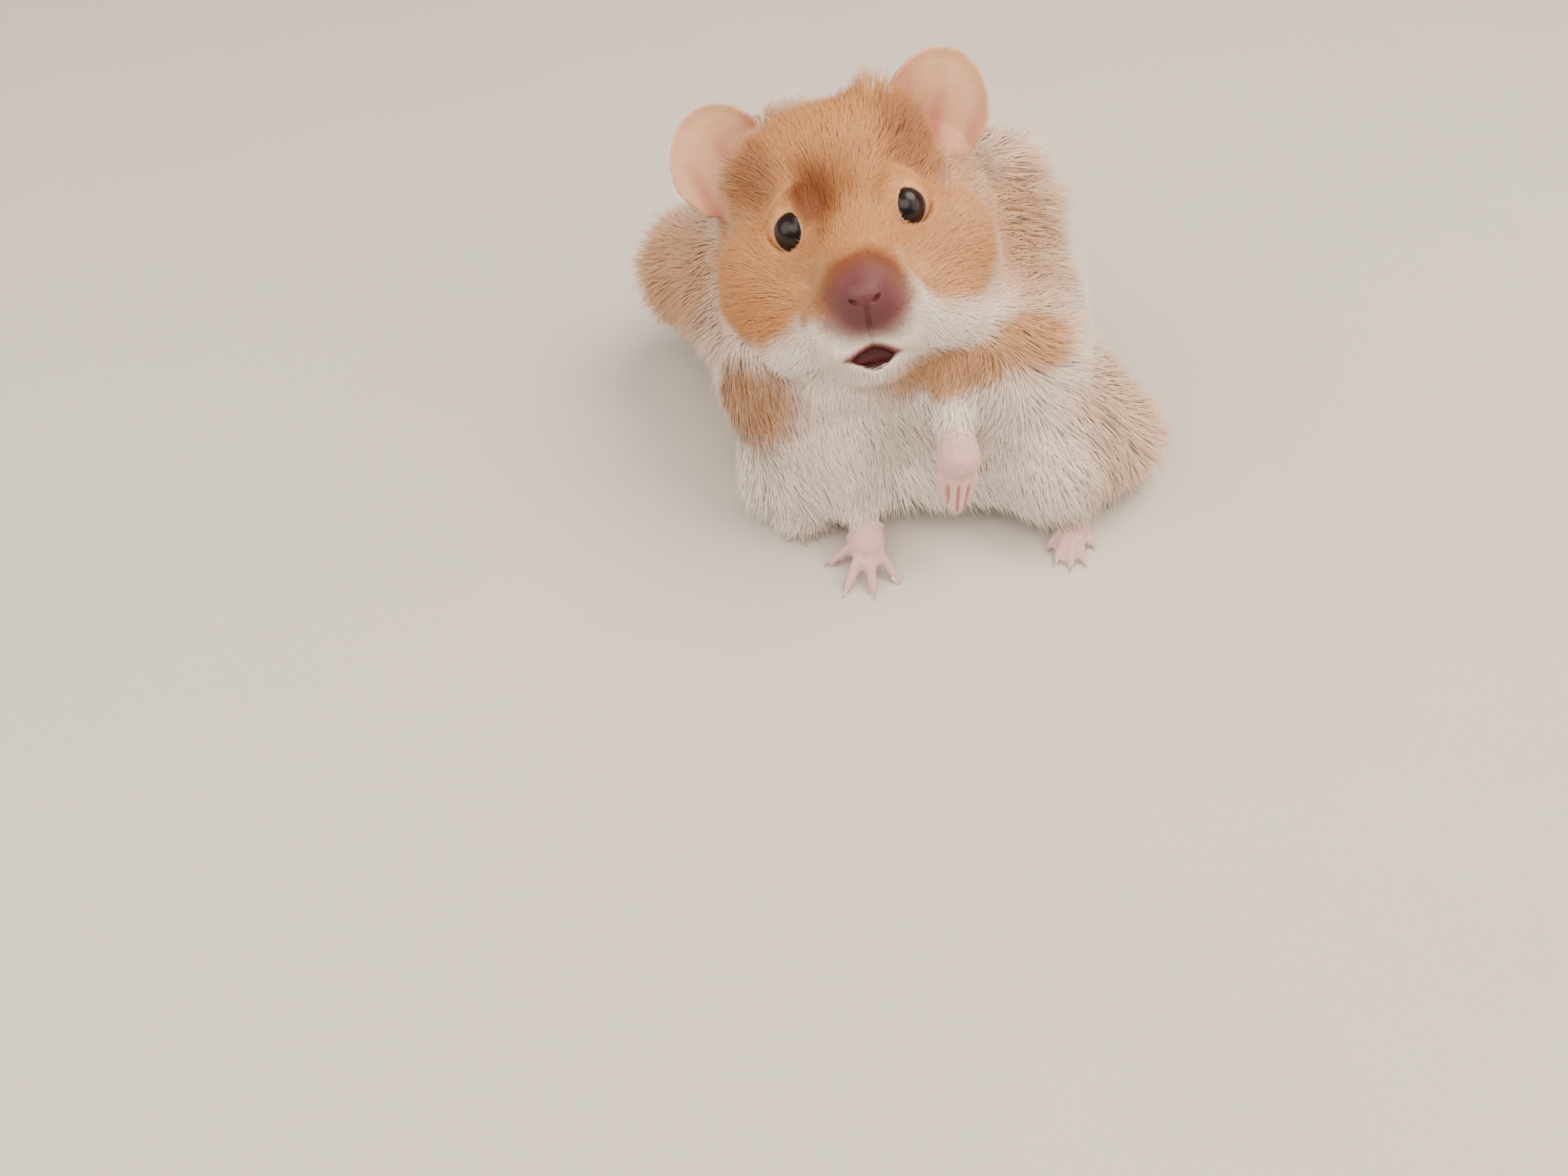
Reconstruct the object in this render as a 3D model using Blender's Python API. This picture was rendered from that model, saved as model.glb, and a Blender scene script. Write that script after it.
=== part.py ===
"""A long-haired, banded Syrian hamster, life size, sitting up on its haunches.

Metres, +Z up, the floor at z = 0. The animal looks towards -Y and up. Its right forepaw stands
on the floor in front of it, its left one hangs before the chest, and its rump lies towards +X.
The solids give the outer surface of the coat. The body is joined from named masses, smoothed
into one form, and parted into head, jaw, neck, trunk, rump and legs by thin cuts.
"""

import math

import bmesh
import bpy
from mathutils import Euler, Matrix, Vector
from mathutils.bvhtree import BVHTree

MM = 0.001
GAP = 0.35  # mm of clear space between neighbouring parts

# The head's own frame: X to the animal's left, Y to the back of the head, Z up through the
# crown, and the origin midway between the eyes. Angles are in degrees, lengths in mm.
EYE_LEVEL = 54.0
NOSE_RAISED = 33.0
LEFT_SIDE_RAISED = 13.6
NOSE_TURNED_RIGHT = 3.6

# The eyeballs look outwards along a line through the head, and stand a little proud of the coat.
EYE_RADIUS = 3.4
EYE_PROUD = 2.1
EYE_LINE_START = (4.1, 7, 0)
EYE_LINE_WAY = (0.6, -0.8, 0.03)

# Masses of the head in its own frame: middle, radii and turn.
HEAD_MASSES = {
    "skull": ((0, 14.5, -1), (21.5, 15, 18), (0, 0, 0)),
    "face": ((0, 8, -3), (13.6, 13.6, 13), (0, 0, 0)),
    "crown": ((-1, 12, 7), (18.5, 13, 13), (0, 0, 0)),
    "bridge": ((0, 1, -6), (10, 11, 8.6), (0, 0, 0)),
    "muzzle": ((0, -7.5, -10.8), (8.2, 9.6, 7.2), (0, 0, 0)),
    "nose_pad": ((0, -15.6, -11.2), (4.2, 3.4, 3.4), (0, 0, 0)),
    "chin": ((0, -1.5, -22.2), (7.5, 8.2, 5.2), (0, 0, 0)),
}
# Masses on both sides of the head, given for its left side.
HEAD_SIDE_MASSES = {
    "cheek": ((13, 8.5, -8.5), (11.8, 13, 13.5), (0, 0, 0)),
    "pouch": ((9, 2, -16.5), (10.8, 10, 8.8), (0, 0, 0)),
    "whisker_pad": ((4.6, -8.8, -14.6), (6.2, 6.2, 5.8), (0, 0, 0)),
}
NOSE = ((0, -16.6, -11.3), (3.3, 2.6, 2.6))
MOUTH = ((-0.3, -7.6, -20.6), (4.6, 6, 1.3), (-12, 0, 0))
JAW = ((0, -1.5, -24.6), (8.5, 9.5, 4.6), (-8, 0, 0))

# Masses of the body in the floor's frame.
BODY_MASSES = {
    "nape": ((-4, 24, 50), (20, 12, 13), (0, 0, 0)),
    "ruff": ((6, 19, 40), (30, 20, 21), (0, 0, 0)),
    "left_ruff": ((24, 24, 42), (16, 15, 15), (0, 0, 0)),
    "shoulders": ((-2, 20, 29), (29, 24, 22), (0, 0, 0)),
    "right_back": ((-22, 32, 23), (18.5, 16.5, 14), (0, 0, 0)),
    "back": ((0, 31, 22), (31, 18, 21), (0, 0, 0)),
    "barrel": ((17.5, 17, 24), (29, 26, 24), (0, 12, 0)),
    "rump": ((38.5, -1, 9.5), (23.5, 16.5, 13), (0, 0, -6)),
    "loin": ((33, 11, 13), (23, 19, 15), (0, 14, 10)),
    "chest": ((-2, -0.5, 24), (23, 17.5, 20), (0, 0, 0)),
    "left_flank": ((24, -0.5, 26), (20, 17, 19), (0, 20, 0)),
    "seat": ((14, 5.5, 9), (30, 24, 10.5), (0, 0, -10)),
    "right_thigh": ((-6, -8, 10), (15.5, 15.5, 12), (0, 0, 20)),
    "left_thigh": ((37, -9, 12), (13, 15, 13), (0, 0, -15)),
}
# Each limb is a run of joints: middle and radius in mm.
RIGHT_FORELEG = (((-11, -4, 26), 10), ((-4, -14, 18), 8), ((4.2, -20.8, 8.6), 3.8))
LEFT_FORELEG = (((16, 0, 33), 9), ((20, -6, 28), 6.6), ((17.6, -15.5, 29), 4.4))

RIGHT_WRIST = (4.2, -21.5, 7.5)
RIGHT_PALM = (4.2, -25.6, 4.4)
RIGHT_FINGERS = ((-1.9, -26.5, 0.8), (0.7, -32.8, 0.8), (5.3, -33.4, 0.8), (9.4, -30.4, 0.8))
LEFT_WRIST = (18, -17.8, 28)
LEFT_PALM = (18.9, -22.6, 22.8)
LEFT_KNUCKLES = ((16.2, -24.4, 20), (18, -25.4, 19.6), (19.9, -25.4, 19.6), (21.7, -24.4, 20))
LEFT_FINGERS = ((17.1, -26, 16.4), (18.3, -27, 15.3), (19.7, -27, 15.3), (20.9, -26, 16.2))

RIGHT_WRIST_RADIUS = 3.5
LEFT_WRIST_RADIUS = 3.9
PALM_SPREAD = 1.05  # the palm's radius over the wrist's
FINGER_RADIUS = 1.2
FINGERTIP_RADIUS = 0.9
DIGIT_ROOT = 1.4  # a digit's radius in the palm, over its radius at the knuckle
KNUCKLE_RISE = 1.0
KNUCKLE_SHARE = 0.55  # of the way from the palm to the tip
CLAW_LENGTH = 1.8
CLAW_RADIUS = 0.38
CLAW_DIP = 0.5  # of the digit's own slope downwards

LEFT_HEEL = (47, -7, 3)
LEFT_BALL = (42.5, -18, 2.4)
LEFT_TOES = (
    (38.4, -22.5, 0.7),
    (39.2, -25.6, 0.7),
    (41.5, -26.6, 0.7),
    (43.8, -25.6, 0.7),
    (46, -22, 0.7),
)
RIGHT_HEEL = (-3, -3, 3)
RIGHT_BALL = (-6, -13, 2.4)
RIGHT_TOES = (
    (-2.4, -17.4, 0.7),
    (-4.6, -19.6, 0.7),
    (-7, -20.4, 0.7),
    (-9.4, -19.6, 0.7),
    (-11, -16.6, 0.7),
)
FOOT_RADIUS = 3.0
TOE_RADIUS = 1.1
TOE_TIP_RADIUS = 0.9

TAIL = (((42, 14, 10), 3), ((53, 18, 6), 2.3), ((58, 20.5, 4.5), 1.6))

# Where the body is parted. Ellipsoids: middle, radii and turn. Runs: the joints that they
# enclose. Boxes: a middle of the near face, a point ahead of it, width and depth.
HEAD_REGION = ((0, 3, -3), (29, 23, 28))
NECK_REGION = ((0, 12, -6), (44, 33, 36))
RIGHT_FORELEG_REGION = (((-12, -6, 25), 11.5), ((-4, -15, 18), 9.5), ((4.2, -22, 8), 6))
LEFT_FORELEG_REGION = (((17, -2, 32), 10), ((21, -9, 28), 9.5), ((17.6, -18, 27.5), 6))
RIGHT_THIGH_REGION = ((-6, -9, 9), (17, 16, 14), (0, 0, 20))
LEFT_THIGH_REGION = ((38, -10, 12), (14.5, 16, 15), (0, 0, -15))
RIGHT_PAW_REGION = (((4.2, -25.4, 5), 5), ((0, -29, 1), 6), ((8.5, -29, 1), 6), ((3, -33, 1), 5))
LEFT_PAW_REGION = (((18.6, -22.6, 24.4), 4.6), ((17.4, -26.2, 16), 4.8), ((20.6, -26.2, 16), 4.8))
LEFT_FOOT_REGION = (((44, -17, 1), 5.5), ((41.5, -25, 0), 6))
RIGHT_FOOT_REGION = (((-6, -13, 0), 4.5), ((-7, -19, 0), 5.5))
RUMP_REGION = ((33, 5, 20), (60, 6, 17))
RUMP_REGION_WIDTH = 120
RUMP_REGION_DEPTH = 60
TAIL_REGION = (((55, 19, 5), 5), ((61, 22, 4), 5))
REGION_DETAIL = 3
FLOOR_WIDTH = 200
FLOOR_DEPTH = 20
WELD = 0.01

# The ears are cupped leaves. Each stands on a base, rises to a tip and opens towards a point
# ahead of it, all in the head's frame.
EARS = {
    "left": ((11.5, 13, 2.5), (21.6, 15.5, 23.6), (25, -60, 20)),
    "right": ((-15.5, 13, 2), (-22.6, 15.5, 23), (-25, -60, 20)),
}
EAR_WIDTH = 18.0
EAR_THICKNESS = 1.1
EAR_CUP = 3.2
EAR_CUP_ALONG = 0.5  # of the cup across the ear
EAR_CUP_LEVEL = 0.4  # where the cup meets the ear's own plane
EAR_FOOT_WIDTH = 0.72  # of the full width, which the ear reaches at its waist
EAR_WAIST = 0.55  # of the ear's length above its base
EAR_GRID = (8, 9)
EAR_REGION_MIDDLE = 0.62  # of the ear's length above its base
EAR_REGION_RADII = (0.6, 6.0, 0.5)  # of its width, in mm, and of its length

# How finely the forms are made: cells in mm, smoothing in passes.
HEAD_CELL = 0.9
HEAD_SMOOTHING = 20
HEAD_FACES = 1500
BODY_CELL = 1.6
BODY_SMOOTHING = 26
BODY_FACES = 1900
PAW_CELL = 0.28
PAW_SMOOTHING = 2
PAW_FACES = 440
TAIL_FACES = 140
SMOOTHING_FACTOR = 0.5
NODE_SHARE = 0.5  # of a parted node's triangles that are kept
LIMB_STEP = 0.25  # of a limb's radius, between the balls along it
DIGIT_STEP = 0.5

FUR_GOLD = (0.55, 0.33, 0.16)
FUR_WHITE = (0.75, 0.70, 0.64)
SKIN_PINK = (0.62, 0.40, 0.36)
EYE_BLACK = (0.01, 0.008, 0.008)
EYE_ROUGHNESS = 0.08
COAT_ROUGHNESS = 0.8


def turned(angles):
    return Euler([math.radians(a) for a in angles]).to_matrix().to_4x4()


def mirrored(triple):
    return (-triple[0], triple[1], triple[2])


HEAD = (
    Matrix.Translation((0, 0, EYE_LEVEL))
    @ turned((0, 0, -NOSE_TURNED_RIGHT))
    @ turned((-NOSE_RAISED, 0, 0))
    @ turned((0, -LEFT_SIDE_RAISED, 0))
)


def add_ellipsoid(form, middle, radii, turn=(0, 0, 0), frame=None, detail=4):
    """Adds one closed ellipsoid to a bmesh that is kept in mm."""
    place = Matrix.Translation(middle) @ turned(turn) @ Matrix.Diagonal((*radii, 1))
    frame = frame or Matrix()
    bmesh.ops.create_icosphere(form, subdivisions=detail, radius=1, matrix=frame @ place)


def add_run(form, joints, step=LIMB_STEP):
    """Adds balls along a run of joints, close enough to join into one limb."""
    for (start, start_radius), (end, end_radius) in zip(joints, joints[1:]):
        start, end = Vector(start), Vector(end)
        count = max(2, math.ceil((end - start).length / (step * min(start_radius, end_radius))))
        for index in range(count + 1):
            share = index / count
            radius = start_radius + (end_radius - start_radius) * share
            add_ellipsoid(form, start.lerp(end, share), (radius,) * 3, detail=2)


def as_object(name, form):
    mesh = bpy.data.meshes.new(name)
    form.transform(Matrix.Scale(MM, 4))
    form.to_mesh(mesh)
    form.free()
    made = bpy.data.objects.new(name, mesh)
    bpy.context.collection.objects.link(made)
    return made


def settle(made):
    """Replaces an object's mesh by the one that its modifiers give."""
    bpy.context.view_layer.update()
    shown = made.evaluated_get(bpy.context.evaluated_depsgraph_get())
    mesh = bpy.data.meshes.new_from_object(shown)
    made.modifiers.clear()
    old = made.data
    made.data = mesh
    bpy.data.meshes.remove(old)


def thinned(made, share):
    thin = made.modifiers.new("thin", "DECIMATE")
    thin.ratio = min(1, share)
    settle(made)


def joined_form(name, form, cell, smoothing, faces):
    """One closed smooth surface round every shape in the form."""
    made = as_object(name, form)
    remesh = made.modifiers.new("join", "REMESH")
    remesh.mode = "VOXEL"
    remesh.voxel_size = cell * MM
    smooth = made.modifiers.new("smooth", "SMOOTH")
    smooth.factor = SMOOTHING_FACTOR
    smooth.iterations = smoothing
    settle(made)
    triangles = sum(len(face.vertices) - 2 for face in made.data.polygons)
    thinned(made, faces / triangles)
    return made


def cut(made, other, operation):
    """Joins, cuts or keeps the part shared with another closed object."""
    boolean = made.modifiers.new("cut", "BOOLEAN")
    boolean.operation = operation
    boolean.solver = "EXACT"
    boolean.object = other
    settle(made)


def discard(made):
    mesh = made.data
    bpy.data.objects.remove(made)
    bpy.data.meshes.remove(mesh)


def head_form():
    form = bmesh.new()
    for middle, radii, turn in HEAD_MASSES.values():
        add_ellipsoid(form, middle, radii, turn, HEAD)
    for middle, radii, turn in HEAD_SIDE_MASSES.values():
        add_ellipsoid(form, middle, radii, turn, HEAD)
        add_ellipsoid(form, mirrored(middle), radii, turn, HEAD)
    return joined_form("head_form", form, HEAD_CELL, HEAD_SMOOTHING, HEAD_FACES)


def body_form():
    form = bmesh.new()
    for middle, radii, turn in BODY_MASSES.values():
        add_ellipsoid(form, middle, radii, turn)
    add_run(form, RIGHT_FORELEG)
    add_run(form, LEFT_FORELEG)
    return joined_form("body_form", form, BODY_CELL, BODY_SMOOTHING, BODY_FACES)


def knuckles_of(palm, tips):
    """The knuckles of a hand or foot whose digits spread evenly from its palm."""
    rise = Vector((0, 0, KNUCKLE_RISE))
    return [Vector(palm).lerp(Vector(tip), KNUCKLE_SHARE) + rise for tip in tips]


def paw_form(name, wrist, palm, knuckles, tips, wrist_radius, base_radius, tip_radius):
    """A hand or foot: a run from the wrist to the palm, and one bent run for each digit."""
    form = bmesh.new()
    add_run(form, ((wrist, wrist_radius), (palm, PALM_SPREAD * wrist_radius)))
    for knuckle, tip in zip(knuckles, tips):
        knuckle, tip = Vector(knuckle), Vector(tip)
        root = (palm, DIGIT_ROOT * base_radius)
        add_run(form, (root, (knuckle, base_radius), (tip, tip_radius)), DIGIT_STEP)
        point = (tip - knuckle).normalized()
        point.z = min(point.z, 0) * CLAW_DIP
        add_run(form, ((tip, CLAW_RADIUS), (tip + CLAW_LENGTH * point, CLAW_RADIUS)), DIGIT_STEP)
    return joined_form(name, form, PAW_CELL, PAW_SMOOTHING, PAW_FACES)


def ear_stand(side):
    """The frame on an ear's base, Z along the ear and -Y out of its open side, and its length."""
    base, tip, faced = (Vector(point) for point in EARS[side])
    rise = (tip - base).normalized()
    across = rise.cross(faced - tip).normalized()
    stand = Matrix((across, rise.cross(across), rise)).transposed().to_4x4()
    return HEAD @ Matrix.Translation(base) @ stand, (tip - base).length


def ear_form(side):
    """A cupped leaf of even thickness, rising from the ear's base to its tip."""
    stand, length = ear_stand(side)
    form = bmesh.new()
    bmesh.ops.create_grid(form, x_segments=EAR_GRID[0], y_segments=EAR_GRID[1], size=1)
    for vert in form.verts:
        # The square grid is drawn in to a disc, and the disc to a leaf with a narrower foot.
        across = vert.co.x * math.sqrt(1 - vert.co.y**2 / 2)
        along = vert.co.y * math.sqrt(1 - vert.co.x**2 / 2)
        share = (along + 1) / 2
        width = EAR_FOOT_WIDTH + (1 - EAR_FOOT_WIDTH) * min(1, share / EAR_WAIST)
        cup = EAR_CUP * (across**2 + EAR_CUP_ALONG * along**2 - EAR_CUP_LEVEL)
        vert.co = (across * width * EAR_WIDTH / 2, -cup, share * length)
    form.transform(stand)
    made = as_object("ear_form", form)
    wall = made.modifiers.new("wall", "SOLIDIFY")
    wall.thickness = EAR_THICKNESS * MM
    wall.offset = 0
    settle(made)
    return made


def ear_region(side):
    stand, length = ear_stand(side)
    wide, deep, long = EAR_REGION_RADII
    radii = (wide * EAR_WIDTH, deep, long * length)
    return ellipsoid_region((0, 0, EAR_REGION_MIDDLE * length), radii, frame=stand)


def eye_middle(side):
    """The middle of an eyeball, found from where its line of sight leaves the coat."""
    start = HEAD @ Vector((side * EYE_LINE_START[0], *EYE_LINE_START[1:])) * MM
    way = (HEAD.to_3x3() @ Vector((side * EYE_LINE_WAY[0], *EYE_LINE_WAY[1:]))).normalized()
    points = [vert.co for vert in whole.data.vertices]
    faces = [tuple(face.vertices) for face in whole.data.polygons]
    left_at = BVHTree.FromPolygons(points, faces).ray_cast(start, way)[0]
    return left_at / MM - way * (EYE_RADIUS - EYE_PROUD)


def ellipsoid_region(middle, radii, turn=(0, 0, 0), frame=None):
    """A function that gives the region as an object, grown by a margin in mm."""

    def grown(margin):
        form = bmesh.new()
        add_ellipsoid(form, middle, [r + margin for r in radii], turn, frame, REGION_DETAIL)
        return as_object("region", form)

    return grown


def run_region(joints):
    """The hull round a run of balls."""

    def grown(margin):
        form = bmesh.new()
        for middle, radius in joints:
            add_ellipsoid(form, middle, (radius + margin,) * 3, detail=REGION_DETAIL)
        bmesh.ops.delete(form, geom=form.edges, context="EDGES_FACES")
        hull = bmesh.ops.convex_hull(form, input=form.verts)
        spare = [item for item in hull["geom_interior"] if isinstance(item, bmesh.types.BMVert)]
        bmesh.ops.delete(form, geom=spare, context="VERTS")
        return as_object("region", form)

    return grown


def box_region(near, ahead, width, depth):
    """A box whose near face stands at one point and looks away from another."""

    def grown(margin):
        direction = (Vector(ahead) - Vector(near)).normalized()
        middle = Vector(near) + direction * depth / 2
        size = Matrix.Diagonal((width + 2 * margin, width + 2 * margin, depth + 2 * margin, 1))
        stand = direction.to_track_quat("Z", "Y").to_matrix().to_4x4()
        form = bmesh.new()
        bmesh.ops.create_cube(form, size=1, matrix=Matrix.Translation(middle) @ stand @ size)
        return as_object("region", form)

    return grown


def keep_largest(made):
    """Drops crumbs that a cut leaves beside the main piece."""
    form = bmesh.new()
    form.from_mesh(made.data)
    bmesh.ops.remove_doubles(form, verts=form.verts, dist=WELD * MM)
    bmesh.ops.dissolve_degenerate(form, edges=form.edges, dist=WELD * MM)
    bmesh.ops.triangulate(form, faces=form.faces)
    left = set(form.verts)
    pieces = []
    while left:
        piece = set()
        edge_of_piece = [next(iter(left))]
        while edge_of_piece:
            vert = edge_of_piece.pop()
            if vert in piece:
                continue
            piece.add(vert)
            edge_of_piece += [edge.other_vert(vert) for edge in vert.link_edges]
        left -= piece
        pieces.append(piece)
    pieces.sort(key=len, reverse=True)
    for piece in pieces[1:]:
        bmesh.ops.delete(form, geom=list(piece), context="VERTS")
    form.to_mesh(made.data)
    form.free()


def part_off(name, grown):
    """Parts the region's share of the whole into a node of its own, with a gap round it."""
    made = bpy.data.objects.new(name, whole.data.copy())
    bpy.context.collection.objects.link(made)
    inside = grown(0)
    cut(made, inside, "INTERSECT")
    discard(inside)
    keep_largest(made)
    outside = grown(GAP)
    cut(whole, outside, "DIFFERENCE")
    discard(outside)
    keep_largest(whole)
    return made


def hollow(grown, margin=0):
    cutter = grown(margin)
    cut(whole, cutter, "DIFFERENCE")
    discard(cutter)


def finish(node, colour, roughness):
    """Gives a node its material and smooth shading."""
    material = bpy.data.materials.new(node.name)
    material.use_nodes = True
    surface = material.node_tree.nodes["Principled BSDF"]
    surface.inputs["Base Color"].default_value = (*colour, 1)
    surface.inputs["Roughness"].default_value = roughness
    node.data.materials.clear()
    node.data.materials.append(material)
    node.data.shade_smooth()


def stand_on_middle(nodes):
    """Moves the animal so that the middle of its box stands over the origin."""
    points = [vert.co for node in nodes for vert in node.data.vertices]
    shift = Vector((0, 0, 0))
    for axis in (0, 1):
        values = [point[axis] for point in points]
        shift[axis] = -(min(values) + max(values)) / 2
    for node in nodes:
        node.data.transform(Matrix.Translation(shift))


for old_object in list(bpy.data.objects):
    bpy.data.objects.remove(old_object)

finger = (FINGER_RADIUS, FINGERTIP_RADIUS)
right_hand = (RIGHT_WRIST_RADIUS, *finger)
left_hand = (LEFT_WRIST_RADIUS, *finger)
foot = (FOOT_RADIUS, TOE_RADIUS, TOE_TIP_RADIUS)
whole = body_form()
forms = [head_form()] + [ear_form(side) for side in EARS]
for name, wrist, palm, knuckles, tips, radii in (
    ("right_hand", RIGHT_WRIST, RIGHT_PALM, None, RIGHT_FINGERS, right_hand),
    ("left_hand", LEFT_WRIST, LEFT_PALM, LEFT_KNUCKLES, LEFT_FINGERS, left_hand),
    ("left_foot", LEFT_HEEL, LEFT_BALL, None, LEFT_TOES, foot),
    ("right_foot", RIGHT_HEEL, RIGHT_BALL, None, RIGHT_TOES, foot),
):
    knuckles = knuckles or knuckles_of(palm, tips)
    forms.append(paw_form(name, wrist, palm, knuckles, tips, *radii))
tail_run = bmesh.new()
add_run(tail_run, TAIL)
forms.append(joined_form("tail_form", tail_run, PAW_CELL, PAW_SMOOTHING, TAIL_FACES))
for form in forms:
    cut(whole, form, "UNION")
    discard(form)

# The feet, the seat and the rump stand on flats at the floor's level.
hollow(box_region((0, 0, 0), (0, 0, -1), FLOOR_WIDTH, FLOOR_DEPTH))

nodes = []
middles = {"left": eye_middle(1), "right": eye_middle(-1)}
for side, middle in middles.items():
    eye = ellipsoid_region(middle, (EYE_RADIUS,) * 3)
    hollow(eye, GAP)
    ball = eye(0)
    ball.name = "eye_" + side
    finish(ball, EYE_BLACK, EYE_ROUGHNESS)
    nodes.append(ball)
hollow(ellipsoid_region(*MOUTH, frame=HEAD))

parting = [
    ("nose", ellipsoid_region(*NOSE, frame=HEAD), SKIN_PINK),
    ("jaw", ellipsoid_region(*JAW, frame=HEAD), FUR_WHITE),
    ("ear_left", ear_region("left"), SKIN_PINK),
    ("ear_right", ear_region("right"), SKIN_PINK),
    ("hind_foot_left", run_region(LEFT_FOOT_REGION), SKIN_PINK),
    ("hind_foot_right", run_region(RIGHT_FOOT_REGION), SKIN_PINK),
    ("forepaw_right", run_region(RIGHT_PAW_REGION), SKIN_PINK),
    ("forepaw_left", run_region(LEFT_PAW_REGION), SKIN_PINK),
    ("foreleg_right", run_region(RIGHT_FORELEG_REGION), FUR_WHITE),
    ("foreleg_left", run_region(LEFT_FORELEG_REGION), FUR_WHITE),
    ("thigh_right", ellipsoid_region(*RIGHT_THIGH_REGION), FUR_WHITE),
    ("thigh_left", ellipsoid_region(*LEFT_THIGH_REGION), FUR_WHITE),
    ("head", ellipsoid_region(*HEAD_REGION, frame=HEAD), FUR_GOLD),
    ("neck", ellipsoid_region(*NECK_REGION, frame=HEAD), FUR_GOLD),
    ("tail", run_region(TAIL_REGION), SKIN_PINK),
    ("rump", box_region(*RUMP_REGION, RUMP_REGION_WIDTH, RUMP_REGION_DEPTH), FUR_GOLD),
]
for name, region, colour in parting:
    node = part_off(name, region)
    thinned(node, NODE_SHARE)
    finish(node, colour, COAT_ROUGHNESS)
    nodes.append(node)
whole.name = "trunk"
thinned(whole, NODE_SHARE)
finish(whole, FUR_WHITE, COAT_ROUGHNESS)
nodes.append(whole)
stand_on_middle(nodes)
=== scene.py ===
"""The looks of a long-haired, banded Syrian hamster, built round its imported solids.

The file goes from the room to the skin, the eyes, the claws and then the coat. Lengths are in
mm where a name or comment says so and in metres in every mesh. The head has a frame of its own:
X to the animal's left, Y to the back of the head, Z up, the origin midway between the eyes.
"""

import math

import bmesh
import bpy
import numpy as np
from mathutils import Matrix, Vector
from mathutils.bvhtree import BVHTree
from mathutils.kdtree import KDTree


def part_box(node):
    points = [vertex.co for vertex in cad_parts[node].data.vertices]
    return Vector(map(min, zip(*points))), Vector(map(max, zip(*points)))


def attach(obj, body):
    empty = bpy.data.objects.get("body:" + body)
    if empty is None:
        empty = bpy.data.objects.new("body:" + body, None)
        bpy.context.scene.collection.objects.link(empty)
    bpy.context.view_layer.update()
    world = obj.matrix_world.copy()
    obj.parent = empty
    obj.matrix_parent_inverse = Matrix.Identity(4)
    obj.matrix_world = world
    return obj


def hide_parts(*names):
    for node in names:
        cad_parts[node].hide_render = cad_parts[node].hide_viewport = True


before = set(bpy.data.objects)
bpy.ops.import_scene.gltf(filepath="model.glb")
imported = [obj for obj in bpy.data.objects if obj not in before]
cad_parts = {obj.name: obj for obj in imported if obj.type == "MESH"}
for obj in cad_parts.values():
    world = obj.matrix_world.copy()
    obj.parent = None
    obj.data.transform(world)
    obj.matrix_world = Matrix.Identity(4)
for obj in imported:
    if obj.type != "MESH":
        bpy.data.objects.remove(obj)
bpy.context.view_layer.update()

# ---------------------------------------------------------------------------------------------
# The room: a pale matt floor under four soft round lamps: a window high up behind the animal, a
# broad fill at its right, a smaller one at its left and one over the camera. The camera looks
# steeply down at the animal from in front of it.
CAMERA_PLACE = (-0.02111, -0.17439, 0.1613)
CAMERA_TILT = math.radians(40)  # up from looking straight down
CAMERA_NEAR = 0.005  # m
LENS = 27  # mm
SENSOR = 36  # mm
ROOM_COLOUR = "#F1EEEA"
ROOM_LIGHT = 0.26  # how strong the light from all round is
FLOOR_REACH = 3.0  # m from its middle to each side
FLOOR_COLOUR = "#D2CEC8"
FLOOR_MOTTLES = 30  # to the metre
FLOOR_TONES = (0.86, 0.9)  # of its colour, where it is darkest and lightest

# Each lamp's place, width, watts and colour. All of them face the animal.
AREA_LIGHTS = {
    "window": ((0.28, 0.16, 0.75), 0.6, 8.0, "#FFF0E0"),
    "fill": ((-0.55, -0.2, 0.45), 0.8, 5.2, "#FFF0E0"),
    "side": ((0.55, -0.2, 0.35), 0.7, 3.8, "#FFE8D0"),
    "front": ((-0.06, -0.42, 0.62), 0.6, 4.4, "#FFECDA"),
}


def linear(hex_colour):
    """An sRGB hex colour as linear RGBA."""
    levels = [int(hex_colour[start : start + 2], 16) / 255 for start in (1, 3, 5)]
    return [
        level / 12.92 if level <= 0.04045 else ((level + 0.055) / 1.055) ** 2.4 for level in levels
    ] + [1]


# A mix has several sockets of one name, so its share, its two colours and its result go by number.
MIX_SHARE, MIX_A, MIX_B = 0, 6, 7
MIX_RESULT = 2


def add_node(tree, kind, settings=None, links=None):
    """Adds a node, gives its properties and sockets their values, and links its inputs."""
    node = tree.nodes.new(kind)
    for key, value in (settings or {}).items():
        if isinstance(key, int) or key in node.inputs:
            node.inputs[key].default_value = value
        else:
            setattr(node, key, value)
    for key, output in (links or {}).items():
        tree.links.new(output, node.inputs[key])
    return node


def new_material(name):
    """A node material, empty until its own nodes are added."""
    material = bpy.data.materials.new(name)
    material.use_nodes = True
    material.node_tree.nodes.clear()
    return material, material.node_tree


def mesh_of(form, name):
    """A finished bmesh as a mesh, which frees the bmesh."""
    mesh = bpy.data.meshes.new(name)
    form.to_mesh(mesh)
    form.free()
    return mesh


def placed(name, data):
    """A new object of the scene that shows a mesh, a lamp or a camera."""
    made = bpy.data.objects.new(name, data)
    bpy.context.collection.objects.link(made)
    return made


camera_data = bpy.data.cameras.new("camera")
camera_data.lens = LENS
camera_data.sensor_width = SENSOR
camera_data.clip_start = CAMERA_NEAR
camera = placed("camera", camera_data)
camera.location = CAMERA_PLACE
camera.rotation_euler = (CAMERA_TILT, 0, 0)
bpy.context.scene.camera = camera

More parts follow.
